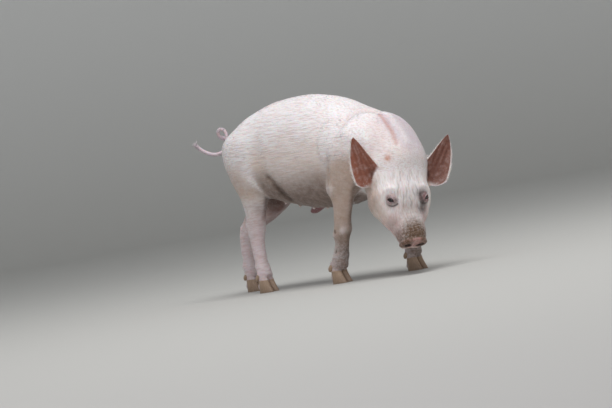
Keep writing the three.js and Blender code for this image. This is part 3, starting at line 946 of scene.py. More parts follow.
def sculpt_lids(points):
    """Almond openings through which the skin drops behind the front of the eye, under a full upper
    lid and over a pouch that ends in a deep crease."""
    for hand, centre in EYE_CENTRES.items():
        x, y, z, gap = lid_places(hand, points)
        ray = points - centre
        far = far_from(points, centre)
        here = (far < 38) & (z > -4)
        open_share = smooth(gap, -0.35, 0.35) * here
        above, below = smooth(y, 0, 4), smooth(-y, 0, 4)
        move = 1.0 * hump(np.hypot(x / 12, (y - 8.5) / 5.5), 0, 0.9) * above
        move -= 1.6 * hump(np.hypot(x / 13.5, (y - 2) / 14.5), 1.0, 0.09) * above
        move -= 0.9 * hump(np.hypot(x / 11.0, (y - 0.6) / 7.0), 1.0, 0.10) * above
        move += 1.7 * hump(np.hypot(x / 10.5, (y + 7.6) / 3.6), 0, 0.9) * below
        move -= 2.6 * hump(np.hypot((x - 1) / 14.0, y / 12.5), 1.0, 0.09) * below * smooth(x, -11, 2)
        move -= 0.9 * hump(np.hypot((x - 1) / 17.0, (y + 1) / 16.5), 1.0, 0.07) * below * smooth(x, -12, 2)
        rim = 0.6 * hump(gap, -1.0, 0.9)
        around = np.hypot(x / 21, y / 21)
        move += (2.6 + 1.4 * above) * hump(around, 1, 0.38) * smooth(1.75 - around, 0, 0.3)
        for ring, depth in ((0.74, 0.5), (0.92, 0.9), (1.16, 0.6)):
            wander = 0.04 * np.sin(5 * np.arctan2(y, x) + 9 * ring)
            move -= depth * hump(np.hypot(x / 16, y / 15), ring + wander, 0.07) * (np.abs(gap) > 1.5)
        lifted = far + (move + rim) * here * smooth(z, -4, 3)
        new_far = lifted * (1 - open_share) + (EYE_RADIUS - 3.2) * open_share
        points = np.where(here[:, None], centre + unit(ray) * new_far[:, None], points)
    return points


shape_now = sculpt_body(shape_now, normals_of(skin_mesh, shape_now))
shape_now = sculpt_face(shape_now, normals_of(skin_mesh, shape_now))
shape_now = sculpt_lids(sculpt_nostrils(shape_now))
skin_normals = normals_of(skin_mesh, shape_now)


# ------------------------------------------------------------------ marks on skin and coat
def part_distances(points):
    """Distance to each body part, by name."""
    values = {name: to_part(name, points) for name in parts}
    low = points[:, 2] < FOOT_TOP
    for name, shapes in TOE_SHAPES.items():
        for centre, radii, _ in shapes:
            toe = ellipsoid_distance(points[low], centre, radii)
            values[name][low] = np.minimum(values[name][low], toe)
    for name in EARS:
        values["ear_" + name] = to_ear(name, points)
    return values


# The tones of the hide, each over the ones before it, and the ones that lie in crumbs. Several stand for
# light rather than the hide. The tan and the two dusky browns are painted shading, wholly or in part. The
# darkest is painted shadow in creases, pits and openings. The lilac and the lids' mauve are partly painted
# shade. The muddy brown also gives a painted shadow under the snout, and the pale rim also gives a painted
# highlight on the nose.
HIDE_AND_SHADE_TONES = {
    "dun_and_painted_shade": "#e2cbbb", "dusk_and_painted_shade": "#9b7d6d", "shade": "#4d3a31", "flush": "#d29c98", "lilac": "#b3a8ba",
    "lids": "#8e6668", "red": "#945a46", "band": "#7b4838", "rim": "#f3e9e2", "raw": "#c98a72",
    "mud_and_painted_shadow": "#634b37", "deep": "#2a1815"}
CRUMBLED = ("raw", "mud_and_painted_shadow")


# Dark specks of dirt on the right legs, and how wide each is, mm.
SPECKS = tuple((own_line(place)[0], size) for place, size in (
    ((-86, -84, 175), 4.0), ((-96, -62, 110), 3.0), ((-104, -64, 84), 3.5), ((-92, -68, 132), 2.5),
    ((160, -84, 120), 4.5), ((150, -80, 74), 5.0), ((186, -88, 148), 3.0)))


def marks_of(points, normals, values):
    """The pig's colouring as shares from 0 to 1, by place: where it is flushed, tan, muddy or raw, and
    where shading, shadow and a highlight are painted in as colour. Skin and coat both take theirs from
    here."""
    ahead, side, rise = head_places(points)
    own_ahead, left, height = own_places(points)
    width, downwards = np.abs(side), -normals[:, 2]
    on_trunk = smooth(6 - np.minimum(values["trunk"], values["neck"]), 0, 10)
    body = on_trunk * (1 - 0.75 * smooth(own_ahead, 225, 300))
    head = smooth(8 - values["head"], 0, 6) * smooth(ahead, 0, 25)
    legs = {name: smooth(6 - values[name], 0, 6) * smooth(330 - height, 0, 60) for name in LEGS}
    fore = np.maximum(legs["fore_left"], legs["fore_right"])
    hind = np.maximum(legs["hind_left"], legs["hind_right"])
    inwards = -out_of(legs, points)
    tail = smooth(6 - values["tail"], 0, 6) * (own_ahead < -180)
    nose = smooth(to_disc(ahead, rise), 179, 183) * (ahead > 150) * (values["head"] < 10)
    marks = {tone: np.zeros(len(points)) for tone in HIDE_AND_SHADE_TONES}

    def lay(tone, *shares):
        """Raises a mark to the largest of these shares."""
        for share in shares:
            marks[tone] = np.maximum(marks[tone], share)

    # Tan: stronger low on the body, on the legs and on the sides of the head than on the back and the top
    # of the head. It is partly the hide's warm tone and partly painted shading.
    lay("dun_and_painted_shade",
        body * smooth(385 - height, 0, 110) * (0.45 + 0.55 * smooth(own_ahead, -190, -60)) * 0.8,
        fore * smooth(height, 60, 130) * 0.85,
        0.9 * hind * smooth(height, 200, 250),
        head * (0.15 + 0.5 * smooth(width, 34, 62)) * (1 - 0.7 * smooth(rise, 0, 30)))
    # Dusky brown, mostly painted shading: low on the body and the legs, between the hind legs, on the sides
    # of the face and under the head, and in the folds of the cheeks, flank, elbow and shoulder blade. On
    # the bridge of the nose it is a dirty tone.
    lay("dusk_and_painted_shade",
        body * smooth(300 - height, 0, 84) * 0.95,
        0.42 * fore * smooth(height, 50, 110),
        0.66 * hind * hump(height, 276, 44),
        hind * smooth(inwards, -4, 10) * smooth(height, 150, 200) * 0.8,
        0.3 * head * smooth(ahead, 82, 112) * (1 - smooth(width, 14, 30)) * smooth(rise, 0, 14),
        0.5 * head * smooth(width, 58, 70),
        0.5 * head * smooth(-rise, 24, 54),
        *(0.5 * head * near_line(points, line, 5) for line in CHEEK_FOLD.values()),
        0.5 * near_line(points, FLANK_FOLD, 11),
        0.35 * near_line(points, ELBOW_FOLD, 12),
        0.2 * near_line(points, BLADE, 9))
    # The darkest brown, all painted shade: under the trunk and the hind legs, in the furrows of the
    # forehead, and on the inner side of the hind thighs.
    under = np.maximum(on_trunk * smooth(downwards, -0.05, 0.65), 0.7 * hind * smooth(downwards, 0.3, 0.9))
    lay("shade",
        under * smooth(height, 120, 160),
        0.32 * head * furrows(ahead, side, rise),
        0.85 * hind * smooth(inwards, -16, 0) * smooth(own_ahead, -165, -125) * smooth(height, 150, 190))
    # Painted shade, with some dirt, on the inner front of each foreleg.
    for name in ("fore_left", "fore_right"):
        front, out, _ = leg_places(name, points)
        lay("shade", 0.62 * legs[name] * smooth(0.6 * front - 0.8 * out, 5, 18) * smooth(height, 40, 90))
    lay("flush",
        0.3 * hind * smooth(230 - height, 0, 70) + 0.25 * fore * smooth(90 - height, 0, 60),
        0.3 * on_trunk * smooth(own_ahead, 200, 300) * smooth(height, 240, 330),
        0.35 * tail,
        nose * 0.85,
        0.4 * head * smooth(ahead, 96, 140) * smooth(width, 18, 34))
    # A cool lilac: the skin's own tone on the hocks and cannons and on the tail. Left of the crest it is
    # also painted shade, on the side of the neck turned away from the light.
    lay("lilac",
        0.7 * on_trunk * smooth(own_ahead, 262, 330) * smooth(left, -56, -26) * smooth(height, 235, 300)
        * (1 - 0.7 * smooth(left, 0, 60)),
        0.16 * hind * smooth(200 - height, 0, 60),
        0.4 * tail)

    # Eyes: a painted shadow in the socket of the left one, bare flushed lids, and painted shadow in the
    # crease under the pouch, in the fold above, in the opening and along the edges.
    lay("deep", head * (side > 0) * 0.95 * near_line(points, EYE_SOCKET_SHADOW, 12))
    for hand, centre in EYE_CENTRES.items():
        x, y, z, gap = lid_places(hand, points)
        near = (far_from(points, centre) < 30) & (z > -2)
        # The left eye lies in shadow, so its lids are darker, as painted shade.
        strength = 1.0 if hand == LEFT else 0.8
        lay("lids", near * strength * (1 - smooth(np.hypot(x / 17, (y - 1.5) / 18), 0.4, 1.1)))
        crease = hump(np.hypot((x - 1) / 14.0, y / 12.5), 1.0, 0.13) * smooth(-y, 0, 4) * smooth(x, -11, 4)
        corner = np.hypot(x - 8.5, y + 1.5) < 9
        lay("deep",
            near * np.maximum(0.9 * crease, smooth(gap, -1.5, -0.3)),
            near * 0.4 * hump(np.hypot(x / 11.0, (y - 0.6) / 7.0), 1.0, 0.12) * (y > 1),
            near * corner * 0.5 * hump(y + 1.5 + 0.4 * (x - 8.5), 0, 1.6))

    # Ears: red-brown inside with darker bands of hair and a pale rim, painted shadow in the pit, and
    # painted shade over the whole inside of the far, left ear.
    for name in EARS:
        t, x, lift = ear_places(name, points)
        outer, inner = ear_edges(np.clip(t, 0, 1))
        share = np.where(x > 0, x / np.maximum(outer, 1), -x / np.maximum(inner, 1))
        near = smooth(4 - values["ear_" + name], 0, 3)
        inside = smooth(lift, -0.3, 0.6) * smooth(t, 0.02, 0.12) * (1 - smooth(share, 0.86, 0.97))
        lay("red", near * inside)
        lay("flush", near * smooth(-lift, -0.2, 0.6) * smooth(t, 0.1, 0.3) * 0.4)
        lay("rim", near * smooth(t, 0.1, 0.2) * smooth(share, 0.9, 0.99))
        fan = x / (1.05 - 0.8 * np.clip(t, 0, 1))
        stripes = hump(fan, -16, 4) + hump(fan, -3, 4) + hump(fan, 10, 4) + 0.8 * hump(fan, 24, 5)
        lay("band", near * inside * stripes * smooth(t, 0.1, 0.3) * 0.75)
        lay("deep", near * smooth(lift, -0.3, 0.6) * hump(t, 0.17, 0.14) * hump(x, -8, 11) * 0.9)
        # The far ear lies in shade: painted shade over its inside.
        if name == "left":
            lay("deep", 0.5 * near * inside)

    # Mud on the muzzle, the nose, the lids and the legs, and in the same brown a painted shadow under the
    # snout.
    reach = ahead - 0.6 * np.maximum(0, np.abs(side - 1) - 7)
    muzzle = 0.26 * smooth(reach, 92, 116) + 0.42 * smooth(reach, 124, 152) \
        + 0.6 * hump(np.hypot((side - 1) / 21, (ahead - 175) / 19), 0, 1)
    muzzle = head * muzzle * smooth(rise, -24, -4)
    fronts = np.max([legs[name] * smooth(leg_places(name, points)[0], -10, 14)
                     for name in ("fore_left", "fore_right")], axis=0)
    lay("mud_and_painted_shadow",
        muzzle * (1 - nose * 0.62 * (1 - smooth(width, 4, 14))),
        nose * 0.9 * smooth(width, 8, 15) * smooth(rise, -22, -12),
        # Painted shadow under the snout, below the disc.
        0.8 * head * smooth(ahead, 160, 176) * smooth(-rise, 22, 27),
        fore * 0.4 * smooth(185 - height, 0, 120) + fronts * 0.3 * smooth(150 - height, 0, 50),
        hind * 0.26 * smooth(60 - height, 0, 40),
        0.42 * marks["lids"] * head,
        *(1.2 * hump(far_from(points, spot), 0, size) for spot, size in SPECKS))

    # Painted shadow in the mouth line and the nostrils, a painted highlight along the lower rim of the
    # nose, then the graze and the sheath.
    mouth = smooth(ahead, 84, 98) * (1 - smooth(ahead, 186, 190)) * (width > 12) * (values["head"] < 12)
    lay("deep",
        mouth * 0.6 * hump(rise, mouth_line(ahead), 2.0) * smooth(ahead, 100, 150),
        nose * smooth(1.3 - nostril_reach(side, rise), 0, 0.35))
    # A painted highlight along the lower rim of the nose.
    lay("rim", 0.6 * nose * hump(rise, -22, 5))
    lay("raw", 0.6 * near_line(points, GRAZE, 4.2), hump(far_from(points, GRAZE_SPOT), 0, 7))
    lay("lids", smooth(6 - values["sheath"], 0, 5) * (height < 190))
    marks.update(nose=nose, of_head=head, of_leg=np.maximum(fore, hind) * smooth(300 - height, 0, 50))
    return marks


def out_of(legs, points):
    """Outward distance from the middle of the hind leg that a point belongs to."""
    left_out = leg_places("hind_left", points)[1]
    right_out = leg_places("hind_right", points)[1]
    return np.where(legs["hind_left"] > legs["hind_right"], left_out, right_out)


# ------------------------------------------------------------------ materials of the animal
def head_turn():
    """The head's axes as an Euler turn, for patterns that run along the face."""
    return Matrix(HEAD_AXES.tolist()).to_euler()


def hide_and_shade_colour(tree, base):
    """Colour of the hide from the marks: each tone lies over the ones before it, as strong as its mark
    says. Several marks stand for painted shading, shadow and highlight rather than the hide's own colour. A
    mottling about 12 mm across breaks the edges, and crumbs of 5 mm break those of dirt and of the painted
    shadow under the snout."""
    place = place_in(tree)
    broken = ranged(tree, noise(tree, place, 85.0, 4.0, 0.6), (0.3, 0.7), (0.76, 1.15))
    crumbled = ranged(tree, noise(tree, place, 210.0, 4.0, 0.62), (0.3, 0.66), (0.68, 1.22))
    colour = base
    for mark, tone in HIDE_AND_SHADE_TONES.items():
        pattern = crumbled if mark in CRUMBLED else broken
        colour = mixed(tree, product(tree, mark_of(tree, mark), pattern), colour, tone)
    return colour


def skin_material():
    """Live pig skin under short white hair: soft, slightly translucent, matt with a faint bloom where the
    fine hair catches light, creased in short level lines 3 mm apart, with painted shade in their hollows."""
    material, tree, shader = new_material("pig_skin", {
        "Subsurface Weight": 0.18, "Subsurface Radius": (1.0, 0.35, 0.2), "Subsurface Scale": 0.004,
        "Specular IOR Level": 0.35, "Sheen Weight": 0.12, "Sheen Roughness": 0.5})
    place = place_in(tree)

    def lines(*laid):
        """Socket with creases of a size, from a spot along turned axes."""
        return noise(tree, stretched(tree, place, *laid), 1.0, 2.5, 0.55, 0.25)

    # Size of one crease along x, y and z, m: trunk, then face, then legs.
    creases = lines((0.0034, 0.036, 0.0029))
    for mark, laid in (("of_head", ((0.0034, 0.020, 0.008), HEAD_SPOT, head_turn())),
                       ("of_leg", ((0.016, 0.016, 0.0036),))):
        fresh = lines(*laid)
        creases = add(tree, "ShaderNodeMix", {"data_type": "FLOAT"},
                      {0: mark_of(tree, mark), 2: creases, 3: fresh}).outputs[0]
    pale = mixed(tree, noise(tree, place, 28.0, 3.0), "#f8f7f9", "#efe6e6")
    # The hollows of the creases are darker: painted shade.
    crease_shaded = mixed(tree, ranged(tree, creases, (0.36, 0.56), (0.6, 0.0)), pale, "#d8c4bf")
    tree.links.new(hide_and_shade_colour(tree, crease_shaded), shader.inputs["Base Color"])
    # The nose is damp.
    tree.links.new(ranged(tree, mark_of(tree, "nose"), (0, 1), (0.6, 0.36)), shader.inputs["Roughness"])
    relief = add(tree, "ShaderNodeBump", {"Strength": 0.8, "Distance": 0.0018}, {"Height": creases})
    pores = add(tree, "ShaderNodeBump", {"Strength": 0.25, "Distance": 0.0004},
                {"Height": noise(tree, place, 700.0, 2.0), "Normal": relief.outputs["Normal"]})
    tree.links.new(pores.outputs["Normal"], shader.inputs["Normal"])
    return material


def bristle_material():
    """White pig bristle: keratin, half clear, so it is paler than the skin that shows between, with a soft
    gloss along each hair. Dirt, flushed skin and the hide's painted shading, shadow and highlight tint its
    root more than its tip."""
    material, tree, shader = new_material(
        "white_bristle", {"Roughness": 0.42, "IOR": 1.55, "Specular IOR Level": 0.4})
    clear = ranged(tree, mark_of(tree, "along"), (0, 1), (0.08, 0.34))
    tree.links.new(mixed(tree, clear, hide_and_shade_colour(tree, "#f4eff1"), "#f9f8fa"), shader.inputs["Base Color"])
    return material


def eye_material():
    """A live eye: dark grey-brown iris round a black pupil, a dim pink white at the corners, all under
    a clear wet cornea that gives one sharp highlight."""
    material, tree, shader = new_material("wet_eye", {
        "Roughness": 0.12, "IOR": 1.38, "Coat Weight": 1.0, "Coat Roughness": 0.02})
    ring = ranged(tree, mark_of(tree, "polar"), (0, 90), (0, 1))
    ramp = add(tree, "ShaderNodeValToRGB", links={"Fac": ring})
    # From the pupil over the iris and its dark rim to the white, as shares of a quarter turn.
    stops = ((0.0, "#050506"), (0.17, "#0a0a0c"), (0.2, "#2a2625"), (0.38, "#3d3733"), (0.46, "#191414"),
             (0.52, "#8d6f69"), (0.8, "#a8827b"))
    for place, _ in stops[1:-1]:
        ramp.color_ramp.elements.new(place)
    for element, (place, tone) in zip(ramp.color_ramp.elements, stops):
        element.position = place
        element.color = linear(tone)
    tree.links.new(ramp.outputs["Color"], shader.inputs["Base Color"])
    return material


def horn_material():
    """Hoof horn: dense keratin grown down from the coronet, so it is ringed level and streaked
    upright, rubbed pale and dirty towards the sole, with a low waxy gloss."""
    material, tree, shader = new_material("hoof_horn", {"Roughness": 0.45})
    place = place_in(tree)
    streaks = noise(tree, stretched(tree, place, (0.0016, 0.0016, 0.014)), 1.0, 3.0)
    height = add(tree, "ShaderNodeSeparateXYZ", links={"Vector": place}).outputs["Z"]
    low = ranged(tree, height, (0.0, 0.022), (0.85, 0.1))
    grime = product(tree, low, noise(tree, place, 300.0, 5.0, 0.7))
    horn = mixed(tree, streaks, "#8f7763", "#c9ad95")
    tree.links.new(mixed(tree, grime, horn, "#4d3e30"), shader.inputs["Base Color"])
    grain = add(tree, "ShaderNodeBump", {"Strength": 0.4, "Distance": 0.0005}, {"Height": streaks})
    tree.links.new(grain.outputs["Normal"], shader.inputs["Normal"])
    return material


HEAD_SPOT = tuple(((at(*HEAD_ORIGIN) + SHIFT) * MM).tolist())
BRISTLE = bristle_material()

# ------------------------------------------------------------------ the skin
skin_values = part_distances(shape_now)
skin_marks = marks_of(shape_now, skin_normals, skin_values)
move(skin_mesh, shape_now * MM)
skin_mesh.update()
make_smooth(skin_mesh)
for mark, values in skin_marks.items():
    set_values(skin_mesh, mark, np.clip(values, 0, 1))
skin_mesh.materials.append(skin_material())
skin = in_scene("skin", skin_mesh)
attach(skin, "root")
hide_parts("trunk", "neck", "head", "snout", "jaw", "ear_left", "ear_right", "tail",
            "foreleg_left", "foreleg_right", "hindleg_left", "hindleg_right")


# ------------------------------------------------------------------ eyes
def eyeball(hand, around=48, along=40):
    """A ball about the line of sight whose radius grows by 0.7 mm over the cornea, the cap within
    36 degrees of that line. The polar angle is kept for the iris."""
    gaze, slit, over = eye_frame(hand)
    polar = np.linspace(0, math.pi, along + 1)
    cornea = smooth(-polar, -math.radians(36), -math.radians(14))
    radius = EYE_RADIUS - 0.15 + 0.7 * cornea
    angle = np.linspace(0, 2 * math.pi, around, endpoint=False)
    rings = EYE_CENTRES[hand] + radius[:, None, None] * (
        np.cos(polar)[:, None, None] * gaze
        + np.sin(polar)[:, None, None] * (np.cos(angle)[:, None] * slit + np.sin(angle)[:, None] * over))
    angles = np.concatenate([[0], np.repeat(polar[1:-1], around), [math.pi]])
    return *outwards(*close_rings(rings)), np.degrees(angles)


EYE_MATERIAL = eye_material()
for hand, word in ((LEFT, "left"), (RIGHT, "right")):
    points, quads, triangles, angles = eyeball(hand)
    ball = make_piece("eyeball_" + word, points, quads, triangles, EYE_MATERIAL, "eye")
    set_values(ball.data, "polar", angles)
    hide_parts("eye_" + word)


# ------------------------------------------------------------------ hooves
def claw_shell(foot, hand, around=56):
    """Horn of one claw: at each height from sole to coronet the outline is an oval, longer ahead than
    behind and narrower at the toe, cut off straight along the cleft. Rings of growth ride on it."""
    level = np.concatenate([np.zeros(3), np.linspace(0, 1, 26), [1.03, 1.02, 1.0]])
    share = np.concatenate([[0.0, 0.5, 0.93], np.ones(26), [0.93, 0.5, 0.0]])
    share[3] = 0.985
    angle = np.linspace(0, 2 * math.pi, around, endpoint=False)
    c, s = np.cos(angle), np.sin(angle)
    mix = np.clip(level, 0, 1)[:, None]
    toe = CLAW_TOE[0] + (CLAW_TOE[1] - CLAW_TOE[0]) * mix - 0.9 * np.sin(math.pi * mix)
    heel = CLAW_HEEL[0] + (CLAW_HEEL[1] - CLAW_HEEL[0]) * mix
    half = CLAW_HALF[0] + (CLAW_HALF[1] - CLAW_HALF[0]) * mix
    growth = 0.22 * np.sin(level * CLAW_HEIGHT * 2.1 + 0.6 * np.sin(3 * level))[:, None] * (mix > 0.05)
    growth = growth + 0.5 * hump(mix, 1, 0.06)
    ahead = (np.where(c > 0, toe, heel) * c + growth * c) * share[:, None]
    out = (half * s * (1 - 0.22 * np.maximum(c, 0) ** 2) + growth * s) * share[:, None]
    out = np.maximum(out, CLAW_CLEFT - CLAW_SIDE + CLAW_SPLAY * ahead)
    height = CLAW_HEIGHT * level[:, None] + 0 * ahead
    height[1] += 0.5
    height[0] += 0.8
    rings = at(foot[0] + ahead, foot[1] + hand * (CLAW_SIDE + out), height) + SHIFT
    return outwards(*close_rings(rings))


def dewclaw_shell(foot, hand):
    """A small claw behind the foot: a tapered tube that bends down to a blunt point."""
    d = DEWCLAW
    out = foot[1] + hand * d["side"]
    stations = [[foot[0] - d["back"] + d["radius"], out - hand * 2, d["height"] + d["radius"], d["radius"]],
                [foot[0] - d["back"] - d["reach"] / 2, out, d["height"] - d["drop"] / 3, d["radius"] - 0.4],
                [foot[0] - d["back"] - d["reach"], out, d["height"] - d["drop"], d["tip"]]]
    points, quads, triangles = outwards(*loft(stations, 24, 20, (0.3, 0.3)))
    return points + SHIFT, quads, triangles


def joined(pieces):
    """Several closed meshes as one."""
    first = np.cumsum([0] + [len(p[0]) for p in pieces])
    return (np.vstack([p[0] for p in pieces]),
            np.vstack([p[1] + start for p, start in zip(pieces, first)]),
            np.vstack([p[2] + start for p, start in zip(pieces, first)]))


HORN = horn_material()
for name, leg in LEGS.items():
    shells = [make(leg["foot"], hand) for make in (claw_shell, dewclaw_shell) for hand in (LEFT, RIGHT)]
    hoof = make_piece("hooves_" + name, *joined(shells), HORN, "hoof_horn")
    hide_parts(*(f"{kind}_{name}_{word}"
                        for kind in ("claw", "dewclaw") for word in ("inner", "outer")))


# ------------------------------------------------------------------ the coat
TAIL_TRACK = spline(at(*np.array(TAIL, float)[:, :3].T), np.linspace(0, 1, 160)) + SHIFT
TAIL_WAY = unit(np.gradient(TAIL_TRACK, axis=0))


def nearest_on_tail(points):
    """Index of the nearest point of the tail's middle line."""
    return np.argmin(far_from(points[:, None], TAIL_TRACK), axis=1)


def coat_lie(points, normals, values):
    """Way the hair lies at each point: back along the trunk, from nose to crown on the head, down the
    legs, to the tips of ears and tail, blended where parts meet and laid in the surface."""
    ways = {"trunk": at(-1, 0, -0.28), "neck": at(-0.85, 0.1, 0.3), "head": along_head(-1, 0, 0.05)}
    ways.update({name: at(-0.12, 0, -1) for name in LEGS})
    ways.update({"ear_" + name: ear_frame(ear)[2] for name, ear in EARS.items()})
    total = np.zeros_like(points)
    for name, way in ways.items():
        strength = np.exp(-np.maximum(values[name], -3) / (2.5 if name.startswith("ear") else 6.0))
        total += strength[:, None] * unit(way)
    on_tail = values["tail"] < 4
    total[on_tail] += 6 * TAIL_WAY[nearest_on_tail(points[on_tail])]
    total -= (total * normals).sum(1)[:, None] * normals
    return unit(total)


def coat_plan(points, normals, values, marks):
    """Length and half width in mm, lift in degrees and number for its area of the bristles."""
    ahead, _, rise = head_places(points)
    own_ahead, left, height = own_places(points)
    ridge = smooth(normals[:, 2], 0.7, 0.98) * hump(left, 0, 45) * smooth(height, 330, 380)
    under = smooth(-normals[:, 2], 0.1, 0.8)
    plan = {"length": 9.0 + 1.5 * ridge - 2.0 * under, "lift": 4.0 + 2.0 * ridge + 4.0 * under,
            "number": 0.85 + 0.3 * ridge - 0.4 * under, "half": np.full(len(points), 0.2)}

    def bring(share, **goals):
        """Brings the measures to these goals where the share is 1."""
        for measure, goal in goals.items():
            plan[measure] += share * (goal - plan[measure])

    bring(marks["of_leg"], length=3.2 + 4.0 * smooth(height, 50, 240), lift=7.0, half=0.17, number=1.0)
    face_length = 3.2 + 3.0 * smooth(100 - ahead, 0, 70) + 4.0 * smooth(-rise, 10, 50)
    bring(marks["of_head"], length=face_length, half=0.16, lift=9.0, number=1.5)
    plan["number"] *= 1 - marks["of_head"] * 0.75 * smooth(ahead, 136, 160)
    for name in EARS:
        on_ear = smooth(3.5 - values["ear_" + name], 0, 3) * smooth(ear_places(name, points)[0], 0.1, 0.25)
        bring(on_ear, length=6.0, half=0.16, number=1.7)
        bring(on_ear * marks["red"], number=0.3, length=5.0)
    plan["length"] += marks["rim"] * 4.0
    plan["lift"] += marks["rim"] * 22.0
    plan["number"] += marks["rim"] * 3.0
    tail = smooth(3 - values["tail"], 0, 3) * (own_ahead < -186)
    tip = tail * smooth(-own_ahead, 236, 258)
    bring(tail, length=6.5, number=1.6, half=0.2)
    plan["length"] += tip * 9.0
    plan["number"] += tip * 5.0
    plan["lift"] += tail * 6.0 + tip * 6.0
    for centre in EYE_CENTRES.values():
        lids = 1 - smooth(far_from(points, centre), 14, 24)
        plan["number"] *= 1 - 0.88 * lids
        bring(lids, length=2.2)
    sheath = smooth(6 - values["sheath"], 0, 5)
    bring(sheath, length=6.0)
    plan["number"] *= (1 - 0.6 * sheath) * (1 - 0.9 * np.clip(marks["nose"] + marks["deep"], 0, 1)) \
        * (1 - 0.5 * np.clip(marks["mud_and_painted_shadow"], 0, 1)) * smooth(height, 28, 33)
    return plan["length"], plan["half"], plan["lift"], np.maximum(plan["number"], 0)


REGIONS = ("back", "flank_left", "flank_right", "belly", "rump", "neck", "head", "ears", "forelegs",
           "hindlegs", "tail")
MIDDLE = 315                   # mm, height of the middle of the trunk
CROUP = 344                    # mm, height of the middle of the rump
# Mean radii of the parts, and how far apart paired parts and the faces of an ear are laid, mm.
ROUND = {"trunk": 115, "rump": 75, "neck": 80, "head": 58, "leg": 30, "tail": 12}
EAR_LENGTH, EARS_APART, FACES_APART, LEGS_APART = 130, 150, 110, 220


def coat_regions(points, values):
    """Index in REGIONS of the piece that the hair at each point belongs to."""
    own_ahead, left, height = own_places(points)
    names = [name for name in values if name != "sheath"]
    nearest = np.argmin(np.stack([values[name] for name in names]), axis=0)
    turn = np.degrees(np.arctan2(left, height - MIDDLE))
    region = np.where(np.abs(turn) < 52, 0, np.where(np.abs(turn) > 125, 3, np.where(left > 0, 1, 2)))
    region = np.where(own_ahead < -125, 4, region)
    for index, name in enumerate(names):
        if name != "trunk":
            kind = ("ears" if name.startswith("ear") else "forelegs" if name.startswith("fore")
                    else "hindlegs" if name.startswith("hind") else name)
            region = np.where(nearest == index, REGIONS.index(kind), region)
    return region


def unwrap(name, points):
    """The skin of a region laid flat, mm: along the part, and round it as its angle times a mean radius.
    Paired parts, and the two faces of an ear, lie side by side."""
    ahead, side, rise = head_places(points)
    own_ahead, left, height = own_places(points)
    if name in ("back", "flank_left", "flank_right"):
        return own_ahead, np.arctan2(left, height - MIDDLE) * ROUND["trunk"]
    if name == "belly":
        return own_ahead, np.arctan2(left, MIDDLE - height) * ROUND["trunk"]
    if name == "rump":
        spread = np.hypot(left / 85, (height - CROUP) / 75) * ROUND["rump"] + np.maximum(0, own_ahead + 188)
        angle = np.arctan2(left, height - CROUP)
        return spread * np.cos(angle), spread * np.sin(angle)
    if name == "neck":
        angle = np.arctan2(left + 12, height - 262 + 0.75 * (own_ahead - 268))
        return 0.8 * own_ahead - 0.6 * height, angle * ROUND["neck"]
    if name == "head":
        return ahead, np.arctan2(side, rise + 4) * ROUND["head"]
    if name == "ears":
        places = zip(ear_places("left", points), ear_places("right", points))
        t, x, lift = (np.where(side > 0, *pair) for pair in places)
        return t * EAR_LENGTH + EARS_APART * (side > 0), x + FACES_APART * (lift > 0)
    if name == "tail":
        nearest = nearest_on_tail(points)
        way = TAIL_WAY[nearest]
        across = unit(np.cross(way, (0, 0, 1)))
        off = points - TAIL_TRACK[nearest]
        angle = np.arctan2((off * np.cross(across, way)).sum(1), (off * across).sum(1))
        return nearest * 1.6, angle * ROUND["tail"]
    left_leg, right_leg = (leg_places(name[:4] + word, points) for word in ("_left", "_right"))
    forward, out = (np.where(left > 0, left_leg[i], right_leg[i]) for i in (0, 1))
    return height, np.arctan2(out, forward) * ROUND["leg"] + LEGS_APART * (left > 0)


def scatter_tufts(mesh, number, total, rng):
    """Places tufts over the skin: a triangle is drawn as often as its area times the number wanted
    there, then a point in it. Returns the corners and their weights."""
    mesh.calc_loop_triangles()
    corners = read(mesh.loop_triangles, "vertices", 3, np.int32)
    a, b, c = (shape_now[corners[:, i]] for i in range(3))
    area = np.linalg.norm(np.cross(b - a, c - a), axis=1) / 2
    odds = area * number[corners].mean(1)
    chosen = corners[rng.choice(len(corners), total, p=odds / odds.sum())]
    u, v = rng.random(total), rng.random(total)
    over = u + v > 1
    u, v = np.where(over, 1 - u, u), np.where(over, 1 - v, v)
    return chosen, np.stack([1 - u - v, u, v], -1)


def bristle_shapes(root, normal, lie, length, half, lift, converge, rng):
    """Thin three-sided spikes: the middle line leaves the skin at the lift angle, bends back towards
    it and sways a little to the side. Rings at the root and at half length, then a point."""
    count = len(root)
    side = unit(np.cross(normal, lie))
    angle = np.radians(lift)
    sway = rng.normal(0, 0.08, count)[:, None]
    share = np.array([0.0, 0.5, 1.0])
    up = np.sin(angle)[:, None] * share - 0.45 * np.sin(angle)[:, None] * share ** 2
    line = (root - ROOT_DEPTH * normal)[:, None] \
        + (length * np.cos(angle))[:, None, None] * share[:, None] * lie[:, None] \
        + length[:, None, None] * up[..., None] * normal[:, None] \
        + length[:, None, None] * (sway * share ** 2)[..., None] * side[:, None] \
        + converge[:, None] * share[:, None]
    spin = rng.uniform(0, 2 * math.pi, count)[:, None] + np.arange(3) * 2 * math.pi / 3
    cross = np.cos(spin)[..., None] * side[:, None] + np.sin(spin)[..., None] * normal[:, None]
    return np.concatenate([
        line[:, :1] + half[:, None, None] * cross,
        line[:, 1:2] + 0.75 * half[:, None, None] * cross,
        line[:, 2:]], axis=1)


BRISTLE_POINTS = 7             # three round the root, three half way, one at the tip
BRISTLE_QUADS = np.array([[0, 1, 4, 3], [1, 2, 5, 4], [2, 0, 3, 5]])
BRISTLE_TRIANGLES = np.array([[3, 4, 6], [4, 5, 6], [5, 3, 6], [0, 2, 1]])
TUFTS = 24000
HAIRS = 4                      # bristles in a tuft
ROOT_DEPTH = 0.5               # mm, by which a bristle starts below the skin
TUFT_RADIUS = 1.7              # mm, over which the roots of a tuft spread
PATCH = 0.003                  # width of a tuft's patch on the bake map


